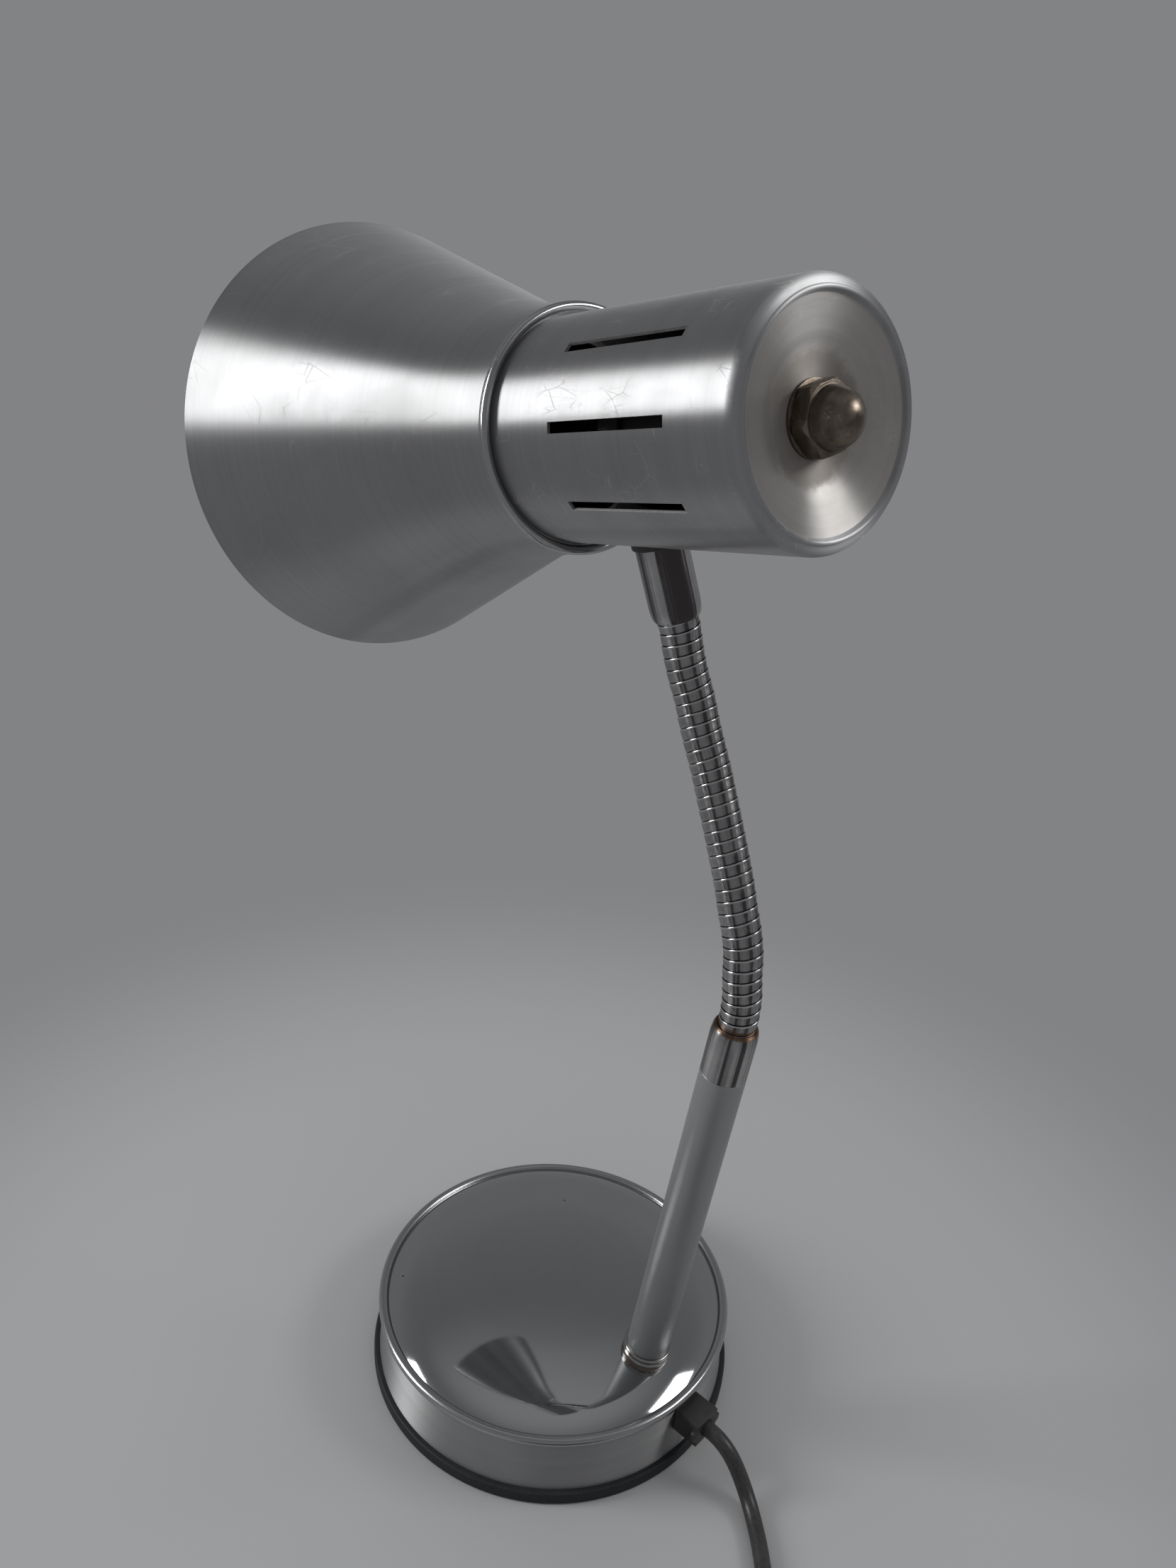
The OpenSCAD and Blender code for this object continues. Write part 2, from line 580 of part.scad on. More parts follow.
acorn_hex = acorn_h * 0.38;                 // height of the acorn nut's hexagon
module acorn_nut() color(brass) at_axis() translate([0, 0, seat_z + acorn_washer_t])
    difference() {
        union() {
            intersection() {
                cylinder(h = acorn_hex, r = (acorn_r + 0.2) / cos(30), $fn = 6);
                rotate_extrude() polygon([[0, 0], [acorn_r + 0.6, 0], [acorn_r + 1.3, 0.8],
                    [acorn_r + 1.3, acorn_hex - 0.8], [acorn_r + 0.4, acorn_hex], [0, acorn_hex]]);
            }
            translate([0, 0, acorn_hex - 0.2]) rotate_extrude() polygon(concat([[0, 0]],
                [for (i = [0 : 9]) let (a = 90 * i / 9)
                    [(acorn_r - 0.6) * cos(a), 0.2 + (acorn_h - acorn_hex) * sin(a)]]));
        }
        translate([0, 0, -1]) cylinder(h = acorn_hex + 4.6, r = thread_r);
    }

// Bulb: a pear of glass on a screw cap
cap_r = 13;
cap_len = 26;
glass_back = holder_front + 4;
bulb_neck = asin((cap_r + 1) / bulb_r * 0.98);
module bulb_glass() color([0.95, 0.95, 0.92, 0.6]) at_axis() rotate_extrude() polygon(concat(
    [[0, glass_back], [cap_r, glass_back], [cap_r + 0.6, glass_back - 4]],
    arc([0, -bulb_front], bulb_r, 90 - bulb_neck - 18, -90, 20)));
module bulb_cap() color(brass) at_axis() translate([0, 0, glass_back]) rotate_extrude() polygon(
    concat([[0, 0]],
        [for (i = [0 : 6]) each [[cap_r - 0.9, 0.3 + i * 3], [cap_r, 1.3 + i * 3]]],
        [[cap_r - 1.2, cap_len - 5], [cap_r - 5, cap_len - 2], [4.5, cap_len - 1], [4.5, cap_len],
            [0, cap_len]]));

// ---- strain relief in the skirt
gland_face = skirt_r + gland_out;           // outer face of the block
module at_gland() {
    rotate([0, 0, gland_turn]) translate([0, 0, gland_z]) children();
}
gland_flange = 2.2;
gland_neck_r = 4.6;
gland_back = skirt_r - 5.1;                 // inner end of the block's neck
// Neck of the block through the skirt
module gland_neck(grow) at_gland() rotate([-90, 0, 0]) translate([0, 0, gland_back])
    cylinder(h = 8, r = gland_neck_r + grow);
module cord_gland() color(black) difference() {
    union() {
        difference() {
            at_gland() translate([-gland_w / 2, gland_back + 3, -gland_h / 2])
                cube([gland_w, gland_face - gland_back - 3, gland_h]);
            // the block's back follows the skirt
            rotate_extrude($fn = 128) polygon(concat(
                [[0, wall_foot]], wall_side(-seat_gap, wall_top), [[0, wall_top]]));
        }
        gland_neck(0);
        // head behind the skirt
        at_gland() rotate([-90, 0, 0]) translate([0, 0, gland_back]) cylinder(h = 2.2, r = 6);
        // two rounded ears on the outer face
        at_gland() for (s = [-1, 1])
            translate([s * (gland_w / 2 - 0.4), gland_face - gland_flange, 0])
                rotate([-90, 0, 0]) cylinder(h = gland_flange, r = 2.4);
    }
    at_gland() rotate([-90, 0, 0]) translate([0, 0, gland_back - 1])
        cylinder(h = gland_out + 12, r = cord_d / 2 + seat_gap);
}

// ---- cord: tubes swept along points chosen by hand, and a coil of the stored length
function unit(v) = v / norm(v);
function flat_side(t) = unit(cross(t, [0, 0, 1]));
function tube_ring(p, t, r, n) = let (a = flat_side(t), b = cross(a, t))
    [for (k = [0 : n - 1]) p + r * (cos(360 * k / n) * a + sin(360 * k / n) * b)];
function way(p, i) = let (last = len(p) - 1)
    unit(p[min(i + 1, last)] - p[max(i - 1, 0)]);
module cord_tube(p) {
    n = 8;
    m = len(p);
    polyhedron(
        points = [for (i = [0 : m - 1]) each tube_ring(p[i], way(p, i), cord_d / 2 - 0.05, n)],
        faces = concat(
            [[for (k = [n - 1 : -1 : 0]) k]],
            [for (i = [0 : m - 2], k = [0 : n - 1])
                [i * n + k, i * n + (k + 1) % n, (i + 1) * n + (k + 1) % n, (i + 1) * n + k]],
            [[for (k = [0 : n - 1]) (m - 1) * n + k]]));
}
lead_points = [[6.6, 75.2, 20.4], [7.1, 81.2, 20.4], [7.6, 87, 19.8], [8, 92, 17.2],
    [8.2, 96.2, 12.6], [9.2, 100.4, 7.8], [11.6, 104.8, 4.4], [15.8, 109.6, 3.1], [21.8, 115.2, 3],
    [28.9, 121, 3], [34.6, 125.7, 3], [41.1, 129.9, 3], [47.6, 132, 3], [54.3, 132.4, 3],
    [61, 130.9, 3], [67, 127.8, 3.4], [72, 123.2, 4.4], [74.6, 120.2, 4.8], [77.8, 116.4, 4.8]];
switch_at = [74.6, 120.2, 4.8];             // where the lead enters the switch
switch_way = -50;                           // direction of the switch on the surface, degrees
link_points = [[108.7, 79.6, 4.8], [111.9, 75.8, 4.8], [117.9, 70.4, 3.8], [125, 66.8, 3.2],
    [132.7, 65.1, 3], [140.7, 65.5, 3], [148.3, 67.9, 3], [154.9, 72.2, 3.2], [165.3, 81, 3.8],
    [175.2, 89.3, 4.3]];
coil_at = [153.3, 127.7, 1.3];
tail_points = [[186.5, 155.8, 10.7], [179.4, 163.4, 10.6], [170, 170.6, 9.8], [158.8, 175.2, 8.6],
    [146.4, 177, 7.6], [134.7, 176, 7], [124.4, 172.6, 6.9], [115.8, 167.4, 7],
    [113.5, 165.5, 7]];

module cord_lead() color(black) cord_tube(lead_points);
module cord_link() color(black) cord_tube(link_points);
module cord_tail() color(black) cord_tube(tail_points);

module cord_coil() color(black) translate(coil_at) rotate_extrude($fn = 64) polygon([
    [coil_r - coil_w / 2, 3], [coil_r - coil_w / 2 + 3, 0], [coil_r + coil_w / 2 - 3, 0],
    [coil_r + coil_w / 2, 3], [coil_r + coil_w / 2, coil_h - 3], [coil_r + coil_w / 2 - 3, coil_h],
    [coil_r - coil_w / 2 + 3, coil_h], [coil_r - coil_w / 2, coil_h - 3]]);

tie_t = 0.9;
tie_w = 5;
tie_turn = 250;
module coil_tie() color("#2b2c30") translate(coil_at) rotate([0, 0, tie_turn])
    translate([coil_r, tie_w / 2, 0]) rotate([90, 0, 0]) linear_extrude(tie_w) difference() {
        translate([-coil_w / 2 - 0.3 - tie_t, -0.3 - tie_t])
            square([coil_w + 0.6 + 2 * tie_t, coil_h + 0.6 + 2 * tie_t]);
        translate([-coil_w / 2 - 0.3, -0.3]) square([coil_w + 0.6, coil_h + 0.6]);
    }

// ---- switch on the cord
split_z = switch_h * 0.5;
case_wall = 2;
module at_switch() {
    translate([switch_at[0], switch_at[1], 0]) rotate([0, 0, switch_way])
        translate([switch_len / 2, 0, 0]) children();
}
// Outline of the case: a long body with narrowed ends
function case_outline(d) = let (l = switch_len / 2 - d, w = switch_w / 2 - d, e = 5.2 - d)
    concat([[-l, -e], [-l * 0.55, -w], [l * 0.55, -w], [l, -e], [l, e], [l * 0.55, w],
        [-l * 0.55, w], [-l, e]]);
window_l = 17.8;
window_w = 9;
rocker_z = switch_h - 6;                    // pivot height of the rocker
pin_bore_gap = 0.05;                        // running clearance of the rocker's pin
rocker_pin_r = 1.2;
rocker_w = window_w - 0.7;
lug_y = window_w / 2 + 0.4;                 // inner face of the lugs that carry the pin
lug_t = 2.2;
rocker_tilt = 8;                            // half of the rocker's travel in degrees
module cord_holes() for (s = [-1, 1]) translate([s * switch_len / 2, 0, switch_at[2]])
    rotate([0, 90, 0]) translate([0, 0, -9]) cylinder(h = 18, r = cord_d / 2);
module case_screw_places() for (s = [-1, 1]) translate([s * switch_len * 0.33, 0, 0]) children();
module switch_lower() color(black) at_switch() difference() {
    linear_extrude(split_z) polygon(case_outline(0));
    translate([0, 0, case_wall]) linear_extrude(split_z)
        intersection() {
            polygon(case_outline(case_wall));
            square([switch_len * 0.5, switch_w], center = true);
        }
    cord_holes();
    case_screw_places() translate([0, 0, -1]) cylinder(h = split_z + 2, r = 1.6);
    case_screw_places() translate([0, 0, -1]) cylinder(h = 2.6, r = 3);
}
module switch_upper() color(black) at_switch() difference() {
    union() {
        difference() {
            union() {
                translate([0, 0, split_z]) linear_extrude(switch_h - split_z - 1.5)
                    polygon(case_outline(0));
                translate([0, 0, switch_h - 1.5]) linear_extrude(1.5) polygon(case_outline(0.8));
            }
            translate([0, 0, split_z - 1]) linear_extrude(switch_h - split_z - case_wall + 1)
                intersection() {
                    polygon(case_outline(case_wall));
                    square([switch_len * 0.5, switch_w], center = true);
                }
            translate([-window_l / 2, -window_w / 2, split_z])
                cube([window_l, window_w, switch_h]);
        }
        // lugs that carry the rocker's pin
        for (s = [-1, 1]) translate([-2.6, s * (lug_y + lug_t / 2) - lug_t / 2, rocker_z - 2.4])
            cube([5.2, lug_t, switch_h - case_wall - rocker_z + 2.9]);
    }
    translate([0, 0, rocker_z]) rotate([90, 0, 0]) translate([0, 0, -lug_y - lug_t - 1])
        cylinder(h = 2 * (lug_y + lug_t + 1), r = rocker_pin_r + pin_bore_gap);
    case_screw_places() translate([0, 0, split_z - 1]) cylinder(h = 4, r = 1.35);
    cord_holes();
}
module switch_screws() color(steel) at_switch() case_screw_places() difference() {
    union() {
        translate([0, 0, 0.3]) cylinder(h = 1.25, r = 2.8);
        translate([0, 0, 0.3]) cylinder(h = split_z + 2.4, r = 1.3);
    }
    translate([-2, -0.35, -0.7]) cube([4, 0.7, 1.6]);
}
// Rocker: a shallow V on a pin across the case, tipped to its off side at rest
module switch_rocker() color("#2a2b2f") at_switch() translate([0, 0, rocker_z])
    rotate([0, -rocker_tilt, 0]) union() {
        translate([0, rocker_w / 2, 0]) rotate([90, 0, 0]) linear_extrude(rocker_w)
            polygon([[-6, -2.5], [6, -2.5], [7.6, 6.2], [0, 5], [-7.6, 6.2]]);
        translate([0, lug_y + lug_t - 0.3, 0]) rotate([90, 0, 0])
            cylinder(h = 2 * (lug_y + lug_t - 0.3), r = rocker_pin_r);
    }

// ---- plug: a flat two-pin body with a ribbed grip, lying on the surface
plug_at = [115.8, 167.4, 0];
plug_way = 220;
pin_r = 2;
pin_len = 19;
pin_gap = 18.6;
module at_plug() {
    translate(plug_at) rotate([0, 0, plug_way]) children();
}
module plug_body() color(black) at_plug() difference() {
    union() {
        // sleeve over the cord
        translate([0, 0, plug_t / 2]) rotate([0, 90, 0]) cylinder(h = 15, r1 = 4.4, r2 = 5.4);
        translate([14, 0, 0]) linear_extrude(plug_t) polygon([[0, -6], [8, -plug_w / 2],
            [plug_len - 14, -plug_w / 2], [plug_len - 14, plug_w / 2], [8, plug_w / 2], [0, 6]]);
    }
    translate([-1, 0, plug_t / 2]) rotate([0, 90, 0]) cylinder(h = 5, r = cord_d / 2 + seat_gap);
    for (s = [-1, 1], i = [0 : 3]) translate([plug_len - 14 + i * 3, s * plug_w / 2, -1])
        cylinder(h = plug_t + 2, r = 0.7, $fn = 24);
}
module plug_pins() color(chrome) at_plug() for (s = [-1, 1])
    translate([plug_len, s * pin_gap / 2, plug_t / 2]) rotate([0, 90, 0]) rotate_extrude($fn = 32)
        polygon([[0, 0], [pin_r, 0], [pin_r, pin_len - 1.4], [pin_r - 1.1, pin_len],
            [0, pin_len]]);

base_skirt();
base_dome();
base_ring();
base_pad();
bottom_plate();
plate_screws();
ballast_weight();
stem_collar();
stem_tube();
stem_washer();
stem_nut();
lower_ferrule();
neck_foot_ring();
for (i = [0 : len(LINKS) - 1]) neck_link(i);
neck_top_ring();
upper_ferrule();
neck_washer();
neck_nipple();
nipple_nut();
housing();
shade();
holder_barrel();
holder_shell();
holder_ring();
holder_cap();
holder_stud();
stud_nut();
stud_washer();
acorn_washer();
acorn_nut();
bulb_glass();
bulb_cap();
cord_gland();
cord_lead();
switch_lower();
switch_upper();
switch_screws();
switch_rocker();
cord_link();
cord_coil();
coil_tie();
cord_tail();
plug_body();
plug_pins();
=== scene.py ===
from math import asin, atan2, cos, degrees, dist, hypot, pi, radians, sin
import bpy
import bmesh
from mathutils import Matrix, Vector


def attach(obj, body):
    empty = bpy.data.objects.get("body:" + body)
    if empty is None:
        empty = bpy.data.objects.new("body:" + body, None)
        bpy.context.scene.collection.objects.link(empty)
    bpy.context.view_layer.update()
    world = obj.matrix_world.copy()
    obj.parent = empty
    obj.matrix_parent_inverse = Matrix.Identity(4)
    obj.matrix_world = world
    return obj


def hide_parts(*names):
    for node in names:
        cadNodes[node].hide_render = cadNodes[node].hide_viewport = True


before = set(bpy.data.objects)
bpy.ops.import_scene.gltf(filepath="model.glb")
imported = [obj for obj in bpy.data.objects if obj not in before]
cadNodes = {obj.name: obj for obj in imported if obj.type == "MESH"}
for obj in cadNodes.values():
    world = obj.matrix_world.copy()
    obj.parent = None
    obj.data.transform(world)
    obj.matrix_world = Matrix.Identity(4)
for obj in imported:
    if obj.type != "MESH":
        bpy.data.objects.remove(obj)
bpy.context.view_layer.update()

scene = bpy.context.scene
mm = 0.001


def turned(axis, angle):
    return Matrix.Rotation(radians(angle), 4, axis)


def moved(x, y, z):
    return Matrix.Translation((x * mm, y * mm, z * mm))


def newObject(name, data):
    obj = bpy.data.objects.new(name, data)
    scene.collection.objects.link(obj)
    return obj


# camera
view = dict(
    place=(299.8, 211.5, 423.8), azimuth=215.63, pitch=-23.99, roll=4.55, lens=27.16, sensor=36,
    clip=(0.01, 20))


def makeCamera(v):
    data = bpy.data.cameras.new("camera")
    data.sensor_width, data.lens = v["sensor"], v["lens"]
    data.clip_start, data.clip_end = v["clip"]
    scene.camera = newObject("camera", data)
    place = moved(*v["place"]) @ turned("Z", v["azimuth"] - 90)
    scene.camera.matrix_world = place @ turned("X", 90 + v["pitch"]) @ turned("Z", v["roll"])


makeCamera(view)

# frames of the stem, the neck's joints and the lamp housing, as in the part's source
stem = dict(
    out=49.9, turn=-6, foot=36.242, lean=6.7, side=0.8, tubeLength=145, tubeR=8, ferrule=20)
neck = dict(
    turnHeight=3.74, side=[-4.3, -2.9, 0.3, 4, 6.6, 7.7], fore=[6.6, 7.6, 7.6, 6, 2.7, 1.2, 0.6,
    0.1, -1.2, -2.3, -3.8, -4.3], joints=18, headTurn=-16.5, radius=6.5)
head = dict(upperFerrule=23.6, washer=0.9, houseR=32.6, houseBack=72, houseFront=36)
stemFrame = (turned("Z", stem["turn"]) @ moved(0, stem["out"], stem["foot"])
             @ turned("Z", -stem["turn"]) @ turned("X", -stem["lean"]) @ turned("Y", stem["side"]))
stemTop = stem["tubeLength"] + stem["ferrule"]


def neckFrames():
    # two joints of three bend fore and aft, the third bends sideways
    place = stemFrame @ moved(0, 0, stemTop + neck["turnHeight"])
    frames = []
    for i in range(neck["joints"]):
        if i % 3 == 2:
            place = place @ turned("Y", neck["side"][i // 3])
        else:
            place = place @ turned("X", neck["fore"][2 * (i // 3) + i % 3])
        frames.append(place)
        place = place @ moved(0, 0, 2 * neck["turnHeight"])
    return frames


joints = neckFrames()
headFrame = joints[-1] @ moved(0, 0, neck["turnHeight"]) @ turned("Z", neck["headTurn"])
axisHeight = head["upperFerrule"] + head["washer"] + head["houseR"]
axisFrame = headFrame @ moved(0, 0, axisHeight) @ turned("X", -90)
print("frames ready: lamp axis at", [round(c, 4) for c in axisFrame.translation])

# mesh helpers: distance in metres, angles in degrees
meshValues = dict(merge=2e-6, turnedSharp=35, cadSharp=30, flat=1, roundings=2)


def meshFrom(name, bm):
    mesh = bpy.data.meshes.new(name)
    bm.to_mesh(mesh)
    bm.free()
    return mesh


def smoothed(mesh, sharp):
    mesh.shade_smooth()
    mesh.set_sharp_from_angle(angle=radians(sharp))


def finishMesh(name, bm, sharp, place=Matrix()):
    bmesh.ops.remove_doubles(bm, verts=bm.verts, dist=meshValues["merge"])
    if bm.calc_volume(signed=True) < 0:
        bmesh.ops.reverse_faces(bm, faces=bm.faces)
    mesh = meshFrom(name, bm)
    mesh.transform(place)
    smoothed(mesh, sharp)
    return newObject(name, mesh)


def arc(cx, cz, r, a0, a1, n):
    angles = [radians(a0 + (a1 - a0) * i / n) for i in range(n + 1)]
    return [(cx + r * cos(a), cz + r * sin(a)) for a in angles]


def spun(name, outline, place, steps):
    # a closed outline of (radius, height) in millimetres, turned about the frame's Z
    bm = bmesh.new()
    uv = bm.loops.layers.uv.new("spun")
    run = [0]
    for a, b in zip(outline, outline[1:] + outline[:1]):
        run.append(run[-1] + dist(a, b))
    around = [(cos(2 * pi * k / steps), sin(2 * pi * k / steps)) for k in range(steps)]
    rings = []
    for r, z in outline:
        if r < meshValues["merge"]:
            rings.append([bm.verts.new((0, 0, z * mm))] * steps)
        else:
            rings.append([bm.verts.new((r * mm * c, r * mm * s, z * mm)) for c, s in around])
    for i, low in enumerate(rings):
        high = rings[(i + 1) % len(rings)]
        for k in range(steps):
            n = (k + 1) % steps
            # a vertex on the axis is in the face only once
            kept = {}
            for vert, turn, row in ((low[k], k, i), (low[n], k + 1, i), (high[n], k + 1, i + 1),
                                    (high[k], k, i + 1)):
                kept.setdefault(vert, (turn / steps, run[row]))
            if len(kept) > 2:
                for loop, at in zip(bm.faces.new(kept).loops, kept.values()):
                    loop[uv].uv = at
    return finishMesh(name, bm, meshValues["turnedSharp"], place)


def softened(node, width):
    # a merged copy of a CAD node, with its edges rounded where a width is given
    v = meshValues
    bm = bmesh.new()
    bm.from_mesh(cadNodes[node].data)
    bmesh.ops.remove_doubles(bm, verts=bm.verts, dist=v["merge"])
    if width:
        bmesh.ops.dissolve_limit(
            bm, angle_limit=radians(v["flat"]), verts=bm.verts, edges=bm.edges)
        edges = [e for e in bm.edges if len(e.link_faces) == 2
                 and e.calc_face_angle(0) > radians(v["cadSharp"])]
        bmesh.ops.bevel(bm, geom=edges, offset=width * mm, segments=v["roundings"], profile=0.5,
                        affect="EDGES", clamp_overlap=True)
    return finishMesh(node + "Piece", bm, v["cadSharp"])


def dress(obj, body, slotName, material, *nodes):
    obj.data.materials.clear()
    obj.data.materials.append(material)
    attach(obj, body)
    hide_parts(*nodes)
    return obj


def radiusAt(line, z):
    # an outline's radius at one height, from rising (radius, height) points
    last = line[0]
    for at in line[1:]:
        if at[1] >= z:
            return last[0] + (at[0] - last[0]) * (z - last[1]) / max(at[1] - last[1], 1e-6)
        last = at
    return last[0]


def faced(obj, material, place, test):
    # a second finish on the faces whose middle, as radius and height, passes the test
    obj.data.materials.append(material)
    back = place.inverted()
    for face in obj.data.polygons:
        at = back @ face.center
        if test(hypot(at.x, at.y) / mm, at.z / mm):
            face.material_index = len(obj.data.materials) - 1


def paint(material, *nodes):
    for name in nodes:
        mesh = cadNodes[name].data
        mesh.materials.clear()
        mesh.materials.append(material)


# shader helpers
def addNode(tree, kind, inputs=None, **settings):
    # gives the node's outputs, and a short kind means a shader node
    node = tree.nodes.new(kind if "Node" in kind else "ShaderNode" + kind)
    for key, value in settings.items():
        setattr(node, key, value)
    for key, value in (inputs or {}).items():
        if isinstance(value, bpy.types.NodeSocket):
            tree.links.new(value, node.inputs[key])
        else:
            node.inputs[key].default_value = value
    return node.outputs


def calc(tree, operation, *values, clamp=False):
    return addNode(tree, "Math", dict(enumerate(values)), operation=operation, use_clamp=clamp)[0]


def times(tree, a, b):
    return calc(tree, "MULTIPLY", a, b)


def mulAdd(tree, a, b, c):
    return calc(tree, "MULTIPLY_ADD", a, b, c)


def vecCalc(tree, operation, *values, **inputs):
    output = "Value" if operation in ("DOT_PRODUCT", "LENGTH") else "Vector"
    return addNode(
        tree, "VectorMath", {**dict(enumerate(values)), **inputs}, operation=operation)[output]


def split(tree, vector):
    return addNode(tree, "SeparateXYZ", {0: vector})


def joined(tree, *values):
    return addNode(tree, "CombineXYZ", dict(enumerate(values)))[0]


def ramp(tree, factor, low, high):
    # 0 at low, 1 at high, smooth between them
    return addNode(
        tree, "MapRange", {"Value": factor, "From Min": low, "From Max": high},
        interpolation_type="SMOOTHSTEP")[0]


def blend(tree, factor, *colours):
    inputs = {6 + i: (*c, 1) if isinstance(c, tuple) else c for i, c in enumerate(colours)}
    return addNode(tree, "Mix", {0: factor, **inputs}, data_type="RGBA", clamp_factor=True)[2]


def noise(tree, vector, scale, detail, rough=0.55, distortion=0):
    return addNode(tree, "TexNoise", {"Vector": vector, "Scale": scale, "Detail": detail,
                   "Roughness": rough, "Distortion": distortion})[0]


def newGroup(name, inputs, outputs):
    # the socket Position is a vector, and every other one is a number
    tree = bpy.data.node_groups.new(name, "ShaderNodeTree")
    for way, labels in (("INPUT", inputs), ("OUTPUT", outputs)):
        for label in labels:
            kind = "Vector" if label == "Position" else "Float"
            tree.interface.new_socket(label, in_out=way, socket_type="NodeSocket" + kind)
    return tree, tree.nodes.new("NodeGroupInput").outputs, tree.nodes.new("NodeGroupOutput").inputs


# noises are given as scale, detail, roughness and distortion, ramps as their two ends
grainValues = dict(broad=0.07, grooves=(1, 2, 0.6), bands=(1, 3, 0.6))
wearValues = dict(
    ways=[((0.4, 0.7, 0.2), (1, 9, 1)), ((1.3, -0.5, 0.9), (7, 1, 2))], cells=0.7, line=(0.02, 0),
    places=(1.1, 2), placeRamp=(0.52, 0.66), smudges=(0.6, 4, 0.6, 0.4), smudgeRamp=(0.38, 0.68))
stainValues = dict(rim=(1, 0.6), ragged=(4, 0.65), middle=0.75, ramp=(0.12, 0.5))
paintedReflectionValues = dict(
    wide=(1, 1, 0.5), fine=(3.3, 2, 0.6), wideShare=0.55, fineShare=0.45, ramp=(0.44, 0.56))


def makeSpunGrain(v):
    # fine rings left by the spinning lathe, and broader bands of tone between them
    tree, given, out = newGroup(
        "spunGrain", ("Position", "Fineness", "Streak"), ("Grooves", "Bands"))
    part = split(tree, given["Position"])
    radius = calc(
        tree, "SQRT",
        calc(tree, "ADD", times(tree, part[0], part[0]), times(tree, part[1], part[1])))
    fine = joined(
        tree, times(tree, radius, given["Fineness"]), times(tree, part[2], given["Fineness"]),
        times(tree, calc(tree, "ARCTAN2", part[1], part[0]), given["Streak"]))
    broad = vecCalc(tree, "SCALE", fine, Scale=v["broad"])
    tree.links.new(noise(tree, fine, *v["grooves"]), out["Grooves"])
    tree.links.new(noise(tree, broad, *v["bands"]), out["Bands"])
    return tree


def makeHandWear(v):
    # thin scratches in two directions and soft smudges from handling
    tree, given, out = newGroup("handWear", ("Position", "Size", "Seed"), ("Scratches", "Smudges"))
    sized = vecCalc(tree, "SCALE", given["Position"], Scale=given["Size"])
    placed = vecCalc(tree, "ADD", sized, given["Seed"])
    lines = []
    for turn, stretch in v["ways"]:
        bent = addNode(tree, "Mapping", {"Vector": placed, "Rotation": turn, "Scale": stretch})[0]
        cells = addNode(tree, "TexVoronoi", {"Vector": bent, "Scale": v["cells"]},
                        feature="DISTANCE_TO_EDGE")[0]
        lines.append(ramp(tree, cells, *v["line"]))
    where = ramp(tree, noise(tree, placed, *v["places"]), *v["placeRamp"])
    tree.links.new(times(tree, calc(tree, "MAXIMUM", *lines), where), out["Scratches"])
    tree.links.new(
        ramp(tree, noise(tree, placed, *v["smudges"]), *v["smudgeRamp"]), out["Smudges"])
    return tree


def makeStainAndShadeBand(v):
    # a ragged band at one height on the frame's Z axis, out to the radius Within: a real stain on
    # most pieces, painted shade on the shade's inside
    tree, given, out = newGroup(
        "stainBand", ("Position", "Height", "Reach", "Size", "Within"), ("Mask",))
    part = split(tree, given["Position"])
    radius = vecCalc(tree, "LENGTH", joined(tree, part[0], part[1], 0))
    inside = ramp(tree, calc(tree, "DIVIDE", radius, given["Within"]), *v["rim"])
    ragged = noise(tree, given["Position"], given["Size"], *v["ragged"])
    away = calc(tree, "ABSOLUTE", calc(tree, "SUBTRACT", part[2], given["Height"]))
    near = calc(tree, "SUBTRACT", 1, calc(tree, "DIVIDE", away, given["Reach"]), clamp=True)
    both = calc(tree, "ADD", near, calc(tree, "SUBTRACT", ragged, v["middle"]))
    tree.links.new(times(tree, ramp(tree, both, *v["ramp"]), inside), out["Mask"])
    return tree


def makePaintedReflectionStreaks(v):
    # painted reflections: dark streaks that run the length of a drawn tube, from the turn round it
    # (0 to 1)
    tree, given, out = newGroup("paintedReflectionStreaks", ("Turn", "Along", "Count", "Seed"), ("Streaks",))
    angle = times(tree, given["Turn"], 2 * pi)
    place = joined(
        tree, mulAdd(tree, calc(tree, "COSINE", angle), given["Count"], given["Seed"]),
        times(tree, calc(tree, "SINE", angle), given["Count"]), given["Along"])
    wide, fine = noise(tree, place, *v["wide"]), noise(tree, place, *v["fine"])
    both = mulAdd(tree, fine, v["fineShare"], times(tree, wide, v["wideShare"]))
    tree.links.new(ramp(tree, both, *v["ramp"]), out["Streaks"])
    return tree


spunGrain, handWear = makeSpunGrain(grainValues), makeHandWear(wearValues)
stainBand, paintedReflectionStreaks = makeStainAndShadeBand(stainValues), makePaintedReflectionStreaks(paintedReflectionValues)


def useGroup(tree, group, **inputs):
    return addNode(tree, "Group", inputs, node_tree=group)


def localPoint(tree, place=Matrix()):
    # the point in the frame of the piece, in metres
    coords = addNode(tree, "TexCoord")["Object"]
    return addNode(
        tree, "Mapping", {"Vector": coords, "Location": place.translation,
        "Rotation": place.to_euler()}, vector_type="TEXTURE")[0]


def newMaterial(name, **sockets):
    material = bpy.data.materials.new(name)
    material.use_nodes = True
    tree = material.node_tree
    shader = tree.nodes["Principled BSDF"]
    for key, value in sockets.items():
        shader.inputs[key.replace("_", " ")].default_value = value
    return material, tree, shader.inputs


def bumped(tree, sockets, height, strength, distance):
    bump = addNode(tree, "Bump", {"Height": height, "Strength": strength, "Distance": distance})[0]
    tree.links.new(bump, sockets["Normal"])


# what all metal looks share, unless they say otherwise
metalValues = dict(
    metallic=1, streak=3, seed=0, within=1, tones=(0.3, 0.7), scratchShine=0.6,
    scratchTone=(0.8, 0.8, 0.8), streakDrift=0.1, pitEdge=(0.009, 0.004),
    pitTone=(0.09, 0.085, 0.08), smudgeRough=0.16, scratchRough=0.3, stainRough=0.2,
    leastRough=0.02)


